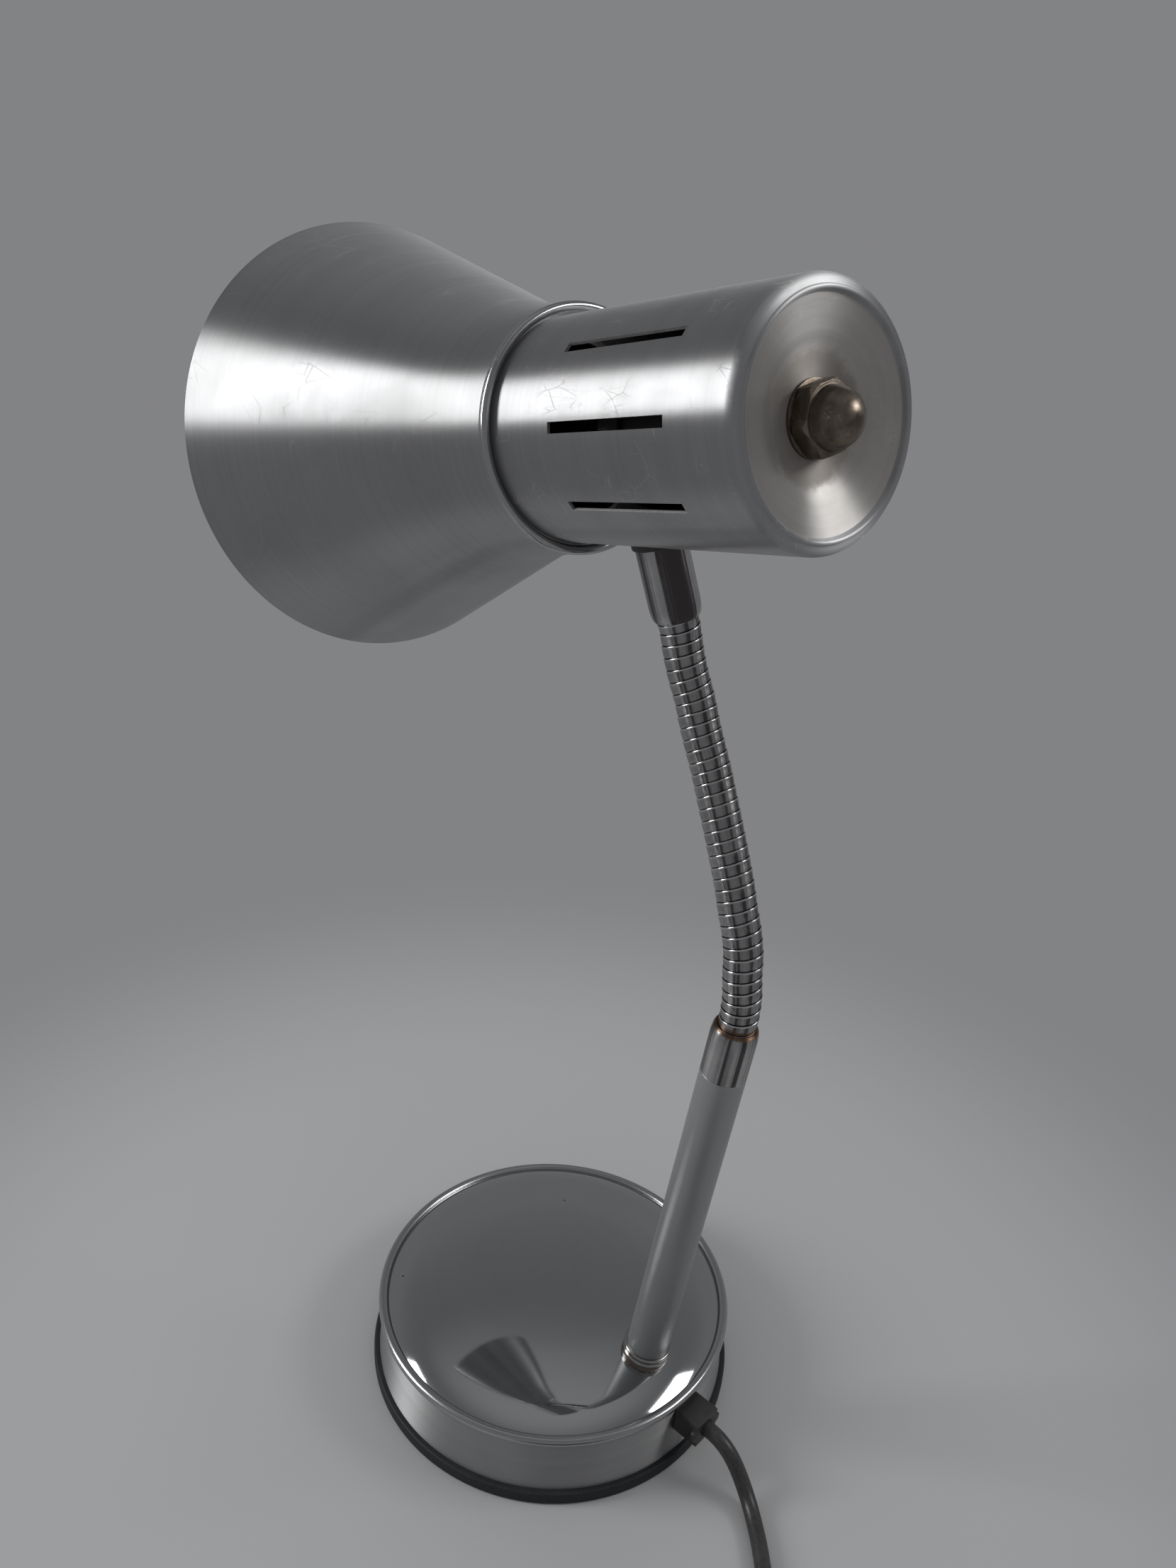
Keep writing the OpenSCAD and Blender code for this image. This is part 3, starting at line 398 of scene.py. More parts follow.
def spunMetal(name, place, base, **look):
    # satin or polished metal turned on a lathe about the frame's Z axis
    v = {**metalValues, **base, **look}
    material, tree, sockets = newMaterial(
        name, Metallic=v["metallic"], Anisotropic=v["anisotropy"], Anisotropic_Rotation=0.25)
    point = localPoint(tree, place)
    grain = useGroup(tree, spunGrain, Position=point, Fineness=v["fineness"], Streak=v["streak"])
    wear = useGroup(tree, handWear, Position=point, Size=v["wearSize"], Seed=v["seed"])
    scratches, smudges = wear["Scratches"], wear["Smudges"]
    colour = blend(tree, ramp(tree, grain["Bands"], *v["tones"]), v["dark"], v["light"])
    colour = blend(tree, times(tree, smudges, v["smudge"]), colour, v["smudgeTone"])
    colour = blend(
        tree, times(tree, scratches, v["scratch"] * v["scratchShine"]), colour, v["scratchTone"])
    # painted reflections: dark streaks along the length of the tube
    if "streakDark" in v:
        part = split(tree, addNode(tree, "UVMap", uv_map="spun")[0])
        marks = useGroup(
            tree, paintedReflectionStreaks, Turn=part[0], Along=times(tree, smudges, v["streakDrift"]),
            Count=v["streakCount"], Seed=v["seed"])
        colour = blend(tree, marks["Streaks"], v["streakDark"], colour)
        # across a turn of the neck: a lighter lip, partly a painted highlight, and darker seams,
        # painted shade
        for edges, tone in v.get("section", ()):
            colour = blend(tree, ramp(tree, part[1], *edges), colour, tone)
    # a stain band: real stains, but on the shade's inside painted shade towards the throat
    if "stain" in v:
        height, reach, size, strength = v["stain"]
        mark = useGroup(
            tree, stainBand, Position=point, Height=height, Reach=reach, Size=size,
            Within=v["within"])["Mask"]
        colour = blend(tree, times(tree, mark, strength), colour, v["stainTone"])
    if "pits" in v:
        cells = addNode(tree, "TexVoronoi", {"Vector": point, "Scale": v["pits"]},
                        voronoi_dimensions="2D")["Distance"]
        colour = blend(tree, ramp(tree, cells, *v["pitEdge"]), colour, v["pitTone"])
    tree.links.new(colour, sockets["Base Color"])
    rough = mulAdd(tree, grain["Bands"], v["spread"], v["rough"] - v["spread"] / 2)
    rough = mulAdd(tree, smudges, v["smudge"] * v["smudgeRough"], rough)
    rough = mulAdd(tree, scratches, v["scratch"] * v["scratchRough"], rough)
    if "stain" in v:
        rough = mulAdd(tree, mark, v["stainRough"], rough)
    tree.links.new(calc(tree, "MAXIMUM", rough, v["leastRough"]), sockets["Roughness"])
    bumped(tree, sockets, mulAdd(tree, scratches, -v["scratch"], grain["Grooves"]), v["bump"],
           v["bumpDepth"])
    if v["anisotropy"]:
        tangent = addNode(tree, "Tangent", direction_type="UV_MAP", uv_map="spun")[0]
        tree.links.new(tangent, sockets["Tangent"])
    return material


mouldValues = dict(
    skin=(3, 0.6), tones=(0.35, 0.7), seed=3, spread=0.16, smudgeRough=0.12, scratchDepth=0.4)


def moulded(name, **look):
    # rubber or plastic with a fine skin, faint wear and dust
    v = {**mouldValues, **look}
    material, tree, sockets = newMaterial(name, **v.get("sockets", {}))
    point = localPoint(tree)
    fine = noise(tree, point, v["grain"], *v["skin"])
    wear = useGroup(tree, handWear, Position=point, Size=v["wearSize"], Seed=v["seed"])
    colour = blend(tree, ramp(tree, fine, *v["tones"]), v["dark"], v["light"])
    colour = blend(tree, times(tree, wear["Smudges"], v["dust"]), colour, v["dustTone"])
    tree.links.new(colour, sockets["Base Color"])
    rough = mulAdd(tree, fine, v["spread"], v["rough"] - v["spread"] / 2)
    tree.links.new(mulAdd(tree, wear["Smudges"], v["smudgeRough"], rough), sockets["Roughness"])
    bumped(tree, sockets, mulAdd(tree, wear["Scratches"], -v["scratchDepth"], fine),
           v["bump"], v["bumpDepth"])
    return material


satin = dict(
    anisotropy=0.95, fineness=9000, streak=5, wearSize=42, dark=(0.41, 0.412, 0.416),
    light=(0.445, 0.447, 0.451), smudge=0.25, smudgeTone=(0.37, 0.37, 0.365), rough=0.39,
    spread=0.03, scratch=0.3, bump=0.09, bumpDepth=0.00003)
plainSatin = dict(satin, anisotropy=0)
polish = dict(
    anisotropy=0, fineness=2600, wearSize=55, dark=(0.45, 0.455, 0.46),
    light=(0.46, 0.465, 0.47), smudge=0.2, smudgeTone=(0.42, 0.42, 0.41), rough=0.06,
    spread=0, scratch=0.08, bump=0.004, bumpDepth=0.00001)
# drawn tube, plated: its highlights run lengthwise, and dark streaks along it are painted
# reflections
plated = dict(
    polish, anisotropy=0.95, rough=0.2, spread=0.04, dark=(0.4, 0.398, 0.402),
    light=(0.46, 0.458, 0.462), bump=0.01, streakDark=(0.08, 0.072, 0.073), streakCount=1.25)
# painted shade in the seams between the neck's turns
paintedSeamShade = (0.03, 0.028, 0.027)
# a stain band, a real stain on most pieces but painted shade inside the shade, is its height, its
# reach, the size of its edge and its strength

shadeMetal = spunMetal("shadeAluminium", axisFrame, satin, seed=1)
housingMetal = spunMetal(
    "housingAluminium", axisFrame, satin, seed=7, scratch=0.8, wearSize=70, spread=0.02, bump=0.06)
dishMetal = spunMetal(
    "dishAluminium", axisFrame, satin, seed=8, metallic=0.85, scratch=0.5, wearSize=90,
    within=0.024, dark=(0.42, 0.405, 0.39), light=(0.46, 0.445, 0.43), rough=0.36,
    smudgeTone=(0.34, 0.325, 0.31), stain=(0.0658, 0.003, 110, 0.4), stainTone=(0.24, 0.2, 0.17))
beadMetal = spunMetal("beadAluminium", axisFrame, plainSatin, rough=0.16, seed=2, bump=0.03)
cutEdge = spunMetal(
    "cutEdge", axisFrame, plainSatin, rough=0.5, dark=(0.6, 0.6, 0.6), light=(0.7, 0.7, 0.7))
# painted shade: its stain band darkens the inside towards the throat
shadeInside = spunMetal(
    "shadeInside", axisFrame, plainSatin, metallic=0.55, rough=0.5,
    dark=(0.42, 0.42, 0.422), light=(0.46, 0.46, 0.462), smudgeTone=(0.38, 0.38, 0.38),
    stain=(-0.046, 0.045, 25, 0.8), stainTone=(0.1, 0.1, 0.102))
# painted shade: a near-black inside for the housing and the shade's throat
paintedShadeInside = spunMetal(
    "paintedShadeInside", axisFrame, plainSatin, rough=0.6, dark=(0.05, 0.05, 0.052),
    light=(0.08, 0.08, 0.082), smudgeTone=(0.05, 0.05, 0.05))
# painted shade: a dark coat on the bulb's rear, seen through the slots
bulbShadeCoat = spunMetal(
    "bulbShadeCoat", axisFrame, polish, rough=0.3, dark=(0.2, 0.2, 0.205), light=(0.24, 0.24, 0.245))
bulbMirror = spunMetal(
    "bulbMirror", axisFrame, polish, rough=0.35, dark=(0.8, 0.8, 0.8), light=(0.84, 0.84, 0.84))
skirtMetal = spunMetal(
    "skirtAluminium", Matrix(), satin, seed=4, rough=0.4, scratch=0.1, bump=0.03)
skirtBead = spunMetal(
    "skirtBead", Matrix(), plainSatin, rough=0.22, seed=5, scratch=0.1, bump=0.03)
domeMetal = spunMetal("polishedPlate", Matrix(), polish, pits=15)
chromePlate = spunMetal(
    "chromePlate", stemFrame, plated, stain=((stemTop - 0.2) * mm, 0.0016, 1500, 0.85),
    stainTone=(0.2, 0.11, 0.055))
headChrome = spunMetal("headChrome", headFrame, plated, seed=3)
# section: across a turn of the neck, the lip lighter, partly polish and partly a painted
# highlight, and the seam on both sides of it darker as painted shade; the dark streaks along the
# neck are painted reflections
neckMetal = spunMetal(
    "neckPlate", stemFrame, plated, wearSize=160, rough=0.24, streakDark=(0.09, 0.083, 0.083),
    dark=(0.3, 0.298, 0.302), light=(0.38, 0.378, 0.382),
    section=[((0.4, 0.46), (0.56, 0.56, 0.565)), ((0.6, 0.64), paintedSeamShade),
    ((0.14, 0.08), paintedSeamShade)], stain=((stemTop + 0.8) * mm, 0.0022, 1400, 0.8),
    stainTone=(0.17, 0.1, 0.055))
collarMetal = spunMetal(
    "collarPlate", stemFrame, polish, rough=0.16, spread=0.1, dark=(0.34, 0.335, 0.335),
    light=(0.42, 0.415, 0.41), stain=(0.0006, 0.0022, 900, 0.8), stainTone=(0.2, 0.14, 0.1))
steelPlate = spunMetal(
    "zincSteel", Matrix(), polish, rough=0.35, spread=0.15, dark=(0.36, 0.37, 0.38),
    light=(0.5, 0.51, 0.52))
plainBrass = spunMetal(
    "plainBrass", axisFrame, polish, rough=0.28, spread=0.1, dark=(0.5, 0.38, 0.17),
    light=(0.66, 0.52, 0.26), smudgeTone=(0.3, 0.22, 0.1))
agedBrass = spunMetal(
    "agedBrass", axisFrame, polish, rough=0.3, spread=0.2, dark=(0.14, 0.115, 0.09), wearSize=220,
    light=(0.26, 0.215, 0.17), smudge=0.8, smudgeTone=(0.09, 0.072, 0.058), scratch=0.5, bump=0.2)
castIron = spunMetal(
    "castIron", Matrix(), polish, rough=0.6, spread=0.2, dark=(0.08, 0.08, 0.085),
    light=(0.14, 0.14, 0.145), bump=0.5)

coatValues = dict(
    metallic=0.8, coat=(0.3, 0.309, 0.316), light=(0.34, 0.348, 0.355), bare=(0.38, 0.375, 0.38),
    dirt=(0.3, 0.3, 0.298), dirtShare=0.25, flakes=(2600, 2, 0.6), tones=(60, 3, 0.5),
    edge=(420, 4, 0.7), edgeDepth=0.003, worn=(1.1, 1.4), wearSize=90, seed=2, rough=0.44,
    flakeRough=0.08, scratchRough=0.15, bareRough=-0.26, bump=0.2, bumpDepth=0.00003)


def makeTubeCoat(v):
    # silver coat on the stem, worn off in a ragged edge where the ferrule begins
    material, tree, sockets = newMaterial("stemSilver", Metallic=v["metallic"])
    point = localPoint(tree, stemFrame)
    flakes, soft, ragged = (noise(tree, point, *v[k]) for k in ("flakes", "tones", "edge"))
    edge = mulAdd(tree, ragged, v["edgeDepth"], split(tree, point)[2])
    bare = ramp(tree, edge, *((stem["tubeLength"] + at) * mm for at in v["worn"]))
    wear = useGroup(tree, handWear, Position=point, Size=v["wearSize"], Seed=v["seed"])
    coat = blend(tree, soft, v["coat"], v["light"])
    coat = blend(tree, times(tree, wear["Smudges"], v["dirtShare"]), coat, v["dirt"])
    tree.links.new(blend(tree, bare, coat, v["bare"]), sockets["Base Color"])
    rough = mulAdd(tree, flakes, v["flakeRough"], v["rough"])
    rough = mulAdd(tree, wear["Scratches"], v["scratchRough"], rough)
    tree.links.new(mulAdd(tree, bare, v["bareRough"], rough), sockets["Roughness"])
    step = mulAdd(tree, bare, -1, times(tree, flakes, 0.5))
    bumped(tree, sockets, step, v["bump"], v["bumpDepth"])
    return material


tubeCoat = makeTubeCoat(coatValues)
rubber = moulded(
    "blackRubber", sockets={"Specular_IOR_Level": 0.3}, grain=1400, wearSize=40,
    dark=(0.009, 0.0105, 0.012), light=(0.016, 0.018, 0.02), dust=0.15,
    dustTone=(0.04, 0.041, 0.042), rough=0.55, bump=0.3, bumpDepth=0.00008)
plastic = moulded(
    "blackPlastic", grain=1800, wearSize=90, dark=(0.014, 0.014, 0.015),
    light=(0.024, 0.024, 0.026), dust=0.2, dustTone=(0.055, 0.054, 0.052), rough=0.42, bump=0.2,
    bumpDepth=0.00006)
cordSkin = moulded(
    "cordSheath", grain=900, wearSize=60, dark=(0.017, 0.017, 0.018), light=(0.027, 0.027, 0.029),
    dust=0.3, dustTone=(0.06, 0.059, 0.056), rough=0.36, bump=0.15, bumpDepth=0.00006)
bulbGlass = moulded(
    "frostedGlass", sockets={"Transmission_Weight": 1, "IOR": 1.5}, grain=1500, wearSize=60,
    dark=(0.93, 0.93, 0.925), light=(0.95, 0.95, 0.945), dust=0.1, dustTone=(0.8, 0.79, 0.77),
    rough=0.26, bump=0.01, bumpDepth=0.00001)
print("materials ready:", len(bpy.data.materials))

# cord: one smooth line from the strain relief, through the switch, coil and plug
cordValues = dict(
    radius=3, roundness=4, length=1.8, lead=[(6.6, 75.2, 20.4), (7.1, 81.2, 20.4), (7.6, 87, 19.8),
    (8, 92, 17.2), (8.2, 96.2, 12.6), (9.2, 100.4, 7.8), (11.6, 104.8, 4.4), (15.8, 109.6, 3.1),
    (21.8, 115.2, 3), (28.9, 121, 3), (34.6, 125.7, 3), (41.1, 129.9, 3), (47.6, 132, 3),
    (54.3, 132.4, 3), (61, 130.9, 3), (67, 127.8, 3.4), (72, 123.2, 4.4), (74.6, 120.2, 4.8),
    (77.8, 116.4, 4.8)], link=[(93.2, 98, 4.8), (108.7, 79.6, 4.8), (111.9, 75.8, 4.8),
    (117.9, 70.4, 3.8), (125, 66.8, 3.2), (132.7, 65.1, 3), (140.7, 65.5, 3), (148.3, 67.9, 3),
    (154.9, 72.2, 3.2), (165.3, 81, 3.8), (175.2, 89.3, 4.3)], coilAt=(153.3, 127.7), entry=-49.8,
    outer=43.5, inner=21.4, floors=(4.3, 10.7), turns=(3.6, 3.65), stepsPerTurn=32,
    climb=(0.2, 0.4), tail=[(179.4, 163.4, 10.6), (170, 170.6, 9.8), (158.8, 175.2, 8.6),
    (146.4, 177, 7.6), (134.7, 176, 7), (124.4, 172.6, 6.9), (115.8, 167.4, 7), (113.5, 165.5, 7)])


def coilLine(v):
    # inward on the floor, then outward on top of that layer
    (low, high), (inward, outward), points = v["floors"], v["turns"], []
    steps = int((inward + outward) * v["stepsPerTurn"])
    for i in range(steps + 1):
        n = (inward + outward) * i / steps
        share = n / inward if n < inward else 1 - (n - inward) / outward
        r = v["outer"] + (v["inner"] - v["outer"]) * share
        rise = min(1, max(0, (n - inward + v["climb"][0]) / v["climb"][1]))
        a = radians(v["entry"] + 360 * n)
        points.append((v["coilAt"][0] + r * cos(a), v["coilAt"][1] + r * sin(a),
                       low + (high - low) * rise * rise * (3 - 2 * rise)))
    return points


def eased(points, parts):
    # points of a smooth spline through the given ones
    p = [Vector(q) for q in points]
    p = [2 * p[0] - p[1], *p, 2 * p[-1] - p[-2]]
    line = []
    for i in range(1, len(p) - 2):
        a, b, c, d = p[i - 1:i + 3]
        for k in range(parts):
            t = k / parts
            line.append(0.5 * (2 * b + (c - a) * t + (2 * a - 5 * b + 4 * c - d) * t * t
                               + (3 * b - a - 3 * c + d) * t ** 3))
    return line + [p[-2]]


def polyline(name, points):
    data = bpy.data.curves.new(name, "CURVE")
    data.dimensions = "3D"
    line = data.splines.new("POLY")
    line.points.add(len(points) - 1)
    for point, place in zip(line.points, points):
        point.co = (*(place * mm), 1)
    line.use_smooth = True
    return newObject(name, data)


def makeCord(v):
    coil = coilLine(v)
    route = (eased(v["lead"] + v["link"] + coil[:1], 2)[:-1] + [Vector(q) for q in coil[:-1]]
             + eased(coil[-1:] + v["tail"], 3))
    cord = polyline("mainsCord", route)
    cord.data.bevel_depth, cord.data.bevel_resolution = v["radius"] * mm, v["roundness"]
    cord.data.use_fill_caps = True
    dress(cord, "stand", "cord_pvc", cordSkin, "cord_lead", "cord_link", "cord_coil", "cord_tail")
    print("cord length", round(sum((b - a).length for a, b in zip(route, route[1:]))), "mm")
    return cord, route[0] * mm


mainsCord, cordExit = makeCord(cordValues)

# the gooseneck: one strip wound as a right-handed screw, each turn cupped into the next
# section: one turn's distance from the neck's centre line, and height in the turn
turnValues = dict(
    steps=56, leadIn=14, easing=6, links=17, linkTurns=2, ringTurns=2.25, ringStart=-1.25,
    sharp=50, section=[(5.5, -0.62), (5.9, -0.45), (6, -0.1), (6.06, 0.1), (6.18, 0.28),
    (6.26, 0.6), (6.3, 1.3), (6.34, 2.1), (6.38, 2.8), (6.44, 3.05), (6.5, 3.22), (6.52, 3.38),
    (6.48, 3.54), (6.38, 3.64), (6.24, 3.66), (6.13, 3.56), (6.08, 3.3), (6.03, 3.05), (5.8, 2.7),
    (5.5, 2.4), (5.25, 1.2), (5.25, 0.2), (5.25, -0.62)])
turnSockets = {
    "Centre Line": "Object", "Section": "Object", "Section Points": "Int", "Start Turn": "Float",
    "Turns": "Float", "Steps per Turn": "Int", "Turn Height": "Float", "Lead In": "Float",
    "Material": "Material"}


def neckCentreLine(v):
    # through the joints, and straight on into both ferrules
    low, up = stemFrame @ Vector((0, 0, stemTop * mm)) / mm, headFrame.translation / mm
    points = [low] + [f.translation / mm for f in joints] + [up]
    lowWay, upWay = ((f.to_3x3() @ Vector((0, 0, 1))).normalized() for f in (stemFrame, headFrame))
    return polyline("neckLine", [low - lowWay * k for k in range(v["leadIn"], 0, -1)]
                    + eased(points, v["easing"])
                    + [up + upWay * k for k in range(1, v["leadIn"] + 1)])


def sectionLine(v):
    mesh = bpy.data.meshes.new("turnSection")
    points = [(r * mm, 0, z * mm) for r, z in v["section"]]
    mesh.from_pydata(points, [(i, i + 1) for i in range(len(points) - 1)], [])
    return newObject("turnSection", mesh)


def makeTurnTree():
    # a grid, turns along X and the section along Y, wound round the centre line
    tree = bpy.data.node_groups.new("cuppedTurns", "GeometryNodeTree")
    tree.is_modifier = True
    for label, kind in {"Geometry": "Geometry", **turnSockets}.items():
        tree.interface.new_socket(label, in_out="INPUT", socket_type="NodeSocket" + kind)
    tree.interface.new_socket("Geometry", in_out="OUTPUT", socket_type="NodeSocketGeometry")
    given = tree.nodes.new("NodeGroupInput").outputs
    line, section = (addNode(tree, "GeometryNodeObjectInfo", {"Object": given[label]})["Geometry"]
                     for label in ("Centre Line", "Section"))
    grid = addNode(tree, "GeometryNodeMeshGrid", {
        "Size X": 1, "Size Y": 1, "Vertices Y": given["Section Points"],
        "Vertices X": mulAdd(tree, given["Turns"], given["Steps per Turn"], 1)})["Mesh"]
    position = addNode(tree, "GeometryNodeInputPosition")[0]
    part = split(tree, position)
    along, across = (calc(tree, "ADD", part[i], 0.5) for i in (0, 1))
    row = times(tree, across, calc(tree, "SUBTRACT", given["Section Points"], 1))
    profile = split(tree, addNode(tree, "GeometryNodeSampleIndex", {
        "Geometry": section, "Value": position, "Index": calc(tree, "ROUND", row)},
        data_type="FLOAT_VECTOR", domain="POINT")[0])
    turn = mulAdd(tree, along, given["Turns"], given["Start Turn"])
    angle = times(tree, turn, 2 * pi)
    height = mulAdd(tree, turn, given["Turn Height"], profile[2])
    centre = addNode(tree, "GeometryNodeSampleCurve", {
        "Curves": line, "Length": calc(tree, "ADD", height, given["Lead In"])},
        mode="LENGTH", data_type="FLOAT", use_all_curves=False)
    tangent, sideways = centre["Tangent"], joined(tree, 1, 0, 0)
    lean = vecCalc(
        tree, "SCALE", tangent, Scale=vecCalc(tree, "DOT_PRODUCT", sideways, tangent))
    east = vecCalc(tree, "NORMALIZE", vecCalc(tree, "SUBTRACT", sideways, lean))
    north = vecCalc(tree, "CROSS_PRODUCT", tangent, east)
    out = vecCalc(
        tree, "ADD", vecCalc(tree, "SCALE", east, Scale=calc(tree, "COSINE", angle)),
        vecCalc(tree, "SCALE", north, Scale=calc(tree, "SINE", angle)))
    place = vecCalc(
        tree, "ADD", centre["Position"], vecCalc(tree, "SCALE", out, Scale=profile[0]))
    # the turn round the neck and the place across its section, stored before the winding
    marked = addNode(tree, "GeometryNodeStoreNamedAttribute", {
        "Geometry": grid, "Name": "spun", "Value": joined(tree, turn, across, 0)},
        data_type="FLOAT2", domain="CORNER")[0]
    wound = addNode(tree, "GeometryNodeSetPosition", {"Geometry": marked, "Position": place})[0]
    done = addNode(
        tree, "GeometryNodeSetMaterial", {"Geometry": wound, "Material": given["Material"]})[0]
    tree.links.new(done, tree.nodes.new("NodeGroupOutput").inputs[0])
    return tree


def plainMesh(obj):
    # the evaluated result as an ordinary mesh, and the modifiers gone
    bpy.context.view_layer.update()
    result = bpy.data.meshes.new_from_object(obj.evaluated_get(
        bpy.context.evaluated_depsgraph_get()))
    obj.modifiers.clear()
    obj.data = result


def closedStrip(obj, v):
    # joins the section's last row to its first and caps both ends
    bm = bmesh.new()
    bm.from_mesh(obj.data)
    bm.verts.ensure_lookup_table()
    rows = len(v["section"])
    grid = [bm.verts[i:i + rows] for i in range(0, len(bm.verts), rows)]
    for a, b in zip(grid, grid[1:]):
        bm.faces.new((a[-1], b[-1], b[0], a[0]))
    bm.faces.new(grid[0])
    bm.faces.new(grid[-1][::-1])
    bmesh.ops.recalc_face_normals(bm, faces=bm.faces)
    bm.to_mesh(obj.data)
    bm.free()
    smoothed(obj.data, v["sharp"])


def makeNeck(v):
    tree, turns, last = makeTurnTree(), v["linkTurns"], v["links"] + 1
    shared = {
        "Centre Line": neckCentreLine(v), "Section": sectionLine(v),
        "Section Points": len(v["section"]), "Steps per Turn": v["steps"],
        "Turn Height": neck["turnHeight"] * mm, "Lead In": v["leadIn"] * mm, "Material": neckMetal}
    links = [(f"neck_link_{k:02d}", f"link_{k:02d}", turns * k - 1, turns) for k in range(1, last)]
    spans = [("neck_foot_ring", "stand", v["ringStart"], v["ringTurns"]), *links,
             ("neck_top_ring", "head", turns * last - 1, v["ringTurns"])]
    for node, body, start, count in spans:
        obj = newObject(node + "Turns", bpy.data.meshes.new(node + "Turns"))
        modifier = obj.modifiers.new("turns", "NODES")
        modifier.node_group = tree
        values = {**shared, "Start Turn": float(start), "Turns": float(count)}
        for socket in tree.interface.items_tree:
            if socket.name in values:
                modifier[socket.identifier] = values[socket.name]
        plainMesh(obj)
        closedStrip(obj, v)
        dress(obj, body, "chrome", neckMetal, node)
    for label in ("Centre Line", "Section"):
        bpy.data.objects.remove(shared[label])
    print("neck wound:", len(spans), "pieces")


makeNeck(turnValues)

# stem tube, and ferrules at both ends of the neck, as one drawn cap each
stemValues = dict(
    mouth=5.5, rim=0.5, bore=5.2, seat=8, edge=0.15, lip=(0.25, -0.3, 0.28), lipTop=0.35,
    lipFoot=0.5, clear=0.02, spigot=(6.85, 14), tubeBore=6.9, tubeSunk=11, steps=96)


def ferruleOutline(v, length, spigotR=0, spigot=0):
    r, n, rim, edge = stem["tubeR"], neck["radius"], neck["radius"] + v["rim"], v["edge"]
    line = [(v["bore"], -length - spigot)]
    if spigot:
        line += [(spigotR, -length - spigot), (spigotR, -length)]
    line += [(r - edge, -length), (r, -length + edge), (r, -v["mouth"])]
    for i in range(1, 15):
        a = radians(90 * i / 14)
        line.append((rim + (r - rim) * cos(a), -v["mouth"] + (v["mouth"] - v["lipTop"]) * sin(a)))
    out, z, lipR = v["lip"]
    return line + arc(n + out, z, lipR, 40, 140, 5) + [
        (n - v["clear"], -v["lipFoot"]), (n - v["clear"], -v["seat"]), (v["bore"], -v["seat"])]


def makeStem(v):
    dress(spun("lowerFerrule", ferruleOutline(v, stem["ferrule"], *v["spigot"]),
               stemFrame @ moved(0, 0, stemTop), v["steps"]),
          "stand", "chrome", chromePlate, "lower_ferrule")
    dress(spun("upperFerrule", ferruleOutline(v, head["upperFerrule"]),
               headFrame @ turned("X", 180), v["steps"]),
          "head", "chrome", headChrome, "upper_ferrule")
    r, top, bore, foot = stem["tubeR"], stem["tubeLength"], v["tubeBore"], -v["tubeSunk"]
    outline = [(bore, foot), (r - 0.1, foot), (r, foot + 0.2), (r, top - 0.1), (r - 0.1, top),
               (bore, top)]
    dress(spun("stemTube", outline, stemFrame, v["steps"]), "stand", "stem_silver", tubeCoat,
          "stem_tube")


makeStem(stemValues)
print("stem and ferrules ready")

# weighted base: skirt with its rolled bead, polished plate, rubber ring
# crown: radius and slope where the plate's middle, flank and edge end
base = dict(
    r=72.5, inset=0.5, bead=1.9, beadZ=29.4, sheet=1, waist=1.8, rise=10.6, crown=[(33, 4.7),
    (58.5, 13.5), (68.75, 33)], ledge=3.5, proud=2.3, ringH=5.2, sole=2, foot=0.4, sill=8,
    channel=2.2, ringLow=0.8, ringHigh=1, gap=0.1, steps=256)


def wall(v, inside, top):
    skirtR, foot = v["r"] - v["inset"] - inside, v["ringH"] + 0.6
    return [(skirtR - v["waist"] * sin(pi / 2 * u) * (1 - 0.25 * u * u), foot + (top - foot) * u)
            for u in (i / 24 for i in range(25))]


def plateArcs(v, depth):
    # three arcs from the middle of the plate to its edge, each smooth with the next
    at, z = 0, v["beadZ"] + v["rise"]
    line, fromR, a = [(0, z - depth)], 0, 0
    for (toR, slope), parts in zip(v["crown"], (24, 24, 20)):
        b = radians(slope)
        r = (toR - fromR) / (sin(b) - sin(a))
        cx, cz = at - r * sin(a), z - r * cos(a)
        for k in range(1, parts + 1):
            t = a + (b - a) * k / parts
            line.append((cx + (r - depth) * sin(t), cz + (r - depth) * cos(t)))
        at, z = cx + r * sin(b), cz + r * cos(b)
        fromR, a = toR, b
    return line


